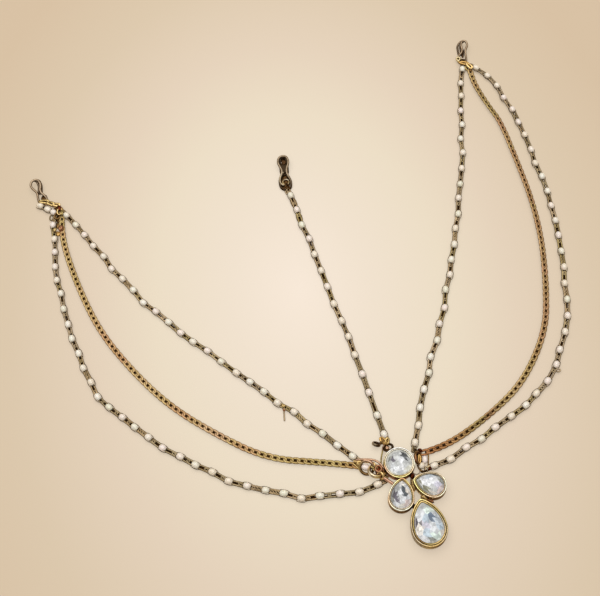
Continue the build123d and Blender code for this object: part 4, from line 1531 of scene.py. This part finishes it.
# ----------------------------------------------------------------- the surface
floor_me = bpy.data.meshes.new("surface")
S = 3.0
floor_me.from_pydata([(-S, -S, 0), (S, -S, 0), (S, S, 0), (-S, S, 0)], [],
                     [(0, 1, 2, 3)])
floor = bpy.data.objects.new("surface", floor_me)
floor.location = (0, 0, -0.00005)
bpy.context.scene.collection.objects.link(floor)
mat = bpy.data.materials.new("pale_surface")
nt, bs, out = nodes_of(mat)
co = coords(nt)
# painted pool of light: lighter in the middle, falling off faster across than along
shift = nt.nodes.new("ShaderNodeMapping")
shift.vector_type = "POINT"
shift.inputs["Location"].default_value = (0.030 / 0.133, -0.0874 / 0.2, 0)
shift.inputs["Scale"].default_value = (1 / 0.133, 1 / 0.2, 0)
nt.links.new(co, shift.inputs["Vector"])
vec = nt.nodes.new("ShaderNodeVectorMath")
vec.operation = "LENGTH"
nt.links.new(shift.outputs[0], vec.inputs[0])
col = ramp(nt, maths(nt, "MULTIPLY", vec.outputs["Value"], 0.5),
           [(0.00, (0.94, 0.82, 0.70)), (0.12, (0.885, 0.77, 0.635)),
            (0.25, (0.845, 0.735, 0.575)), (0.36, (0.79, 0.655, 0.51)),
            (0.50, (0.725, 0.59, 0.43)), (0.66, (0.69, 0.54, 0.38))])
GLOW = 0.58                      # part of its brightness is its own glow, painted light that weakens the shadows on it
nt.links.new(mix(nt, 1.0, col, (1 - GLOW,) * 3, "MULTIPLY"),
             bs.inputs["Base Color"])
nt.links.new(col, bs.inputs["Emission Color"])
bs.inputs["Emission Strength"].default_value = GLOW
bs.inputs["Roughness"].default_value = 0.9
bs.inputs["Specular IOR Level"].default_value = 0.0
floor_me.materials.append(mat)

# ---------------------------------------------------------------------- lights
def area(name, loc, target, size, power, color=(1, 1, 1)):
    li = bpy.data.lights.new(name, "AREA")
    li.shape = "DISK"
    li.size = size
    li.energy = power
    li.color = color
    ob = bpy.data.objects.new(name, li)
    ob.location = loc
    ob.rotation_euler = (Vector(target) - Vector(loc)).to_track_quat(
        "-Z", "Y").to_euler()
    bpy.context.scene.collection.objects.link(ob)
    return ob


area("softbox", (-0.05, 0.40, 1.30), (-0.03, 0.08, 0), 2.0, 16.4,
     (1.0, 0.99, 0.97))
world = bpy.data.worlds.new("studio")
bpy.context.scene.world = world
world.use_nodes = True
wnt = world.node_tree
wnt.nodes.clear()
wout = wnt.nodes.new("ShaderNodeOutputWorld")
wbg = wnt.nodes.new("ShaderNodeBackground")
wco = wnt.nodes.new("ShaderNodeTexCoord")
wsep = wnt.nodes.new("ShaderNodeSeparateXYZ")
wnt.links.new(wco.outputs["Generated"], wsep.inputs[0])
wcol = ramp(wnt, wsep.outputs["Z"], [(0.0, (0.30, 0.22, 0.15)),
                                     (0.35, (0.22, 0.19, 0.16)),
                                     (0.65, (0.75, 0.74, 0.72)),
                                     (1.0, (1.0, 1.0, 1.0))])
wnt.links.new(wcol, wbg.inputs["Color"])
wbg.inputs["Strength"].default_value = 0.60
wnt.links.new(wbg.outputs[0], wout.inputs[0])
bpy.context.scene.view_settings.view_transform = "Standard"

# ---------------------------------------------------------------------- camera
cam_data = bpy.data.cameras.new("camera")
cam_data.sensor_width = 36.0
cam_data.lens = 54.0
cam_data.clip_start = 0.01
cam_data.clip_end = 20.0
cam = bpy.data.objects.new("camera", cam_data)
cam.matrix_world = (Matrix.Translation(Vector((-0.03036, -0.0968, 0.36935)))
                    @ Matrix.Rotation(math.radians(26.0), 4, "X")
                    @ Matrix.Rotation(math.radians(-8.5), 4, "Z"))
bpy.context.scene.collection.objects.link(cam)
bpy.context.scene.camera = cam
bpy.context.view_layer.update()
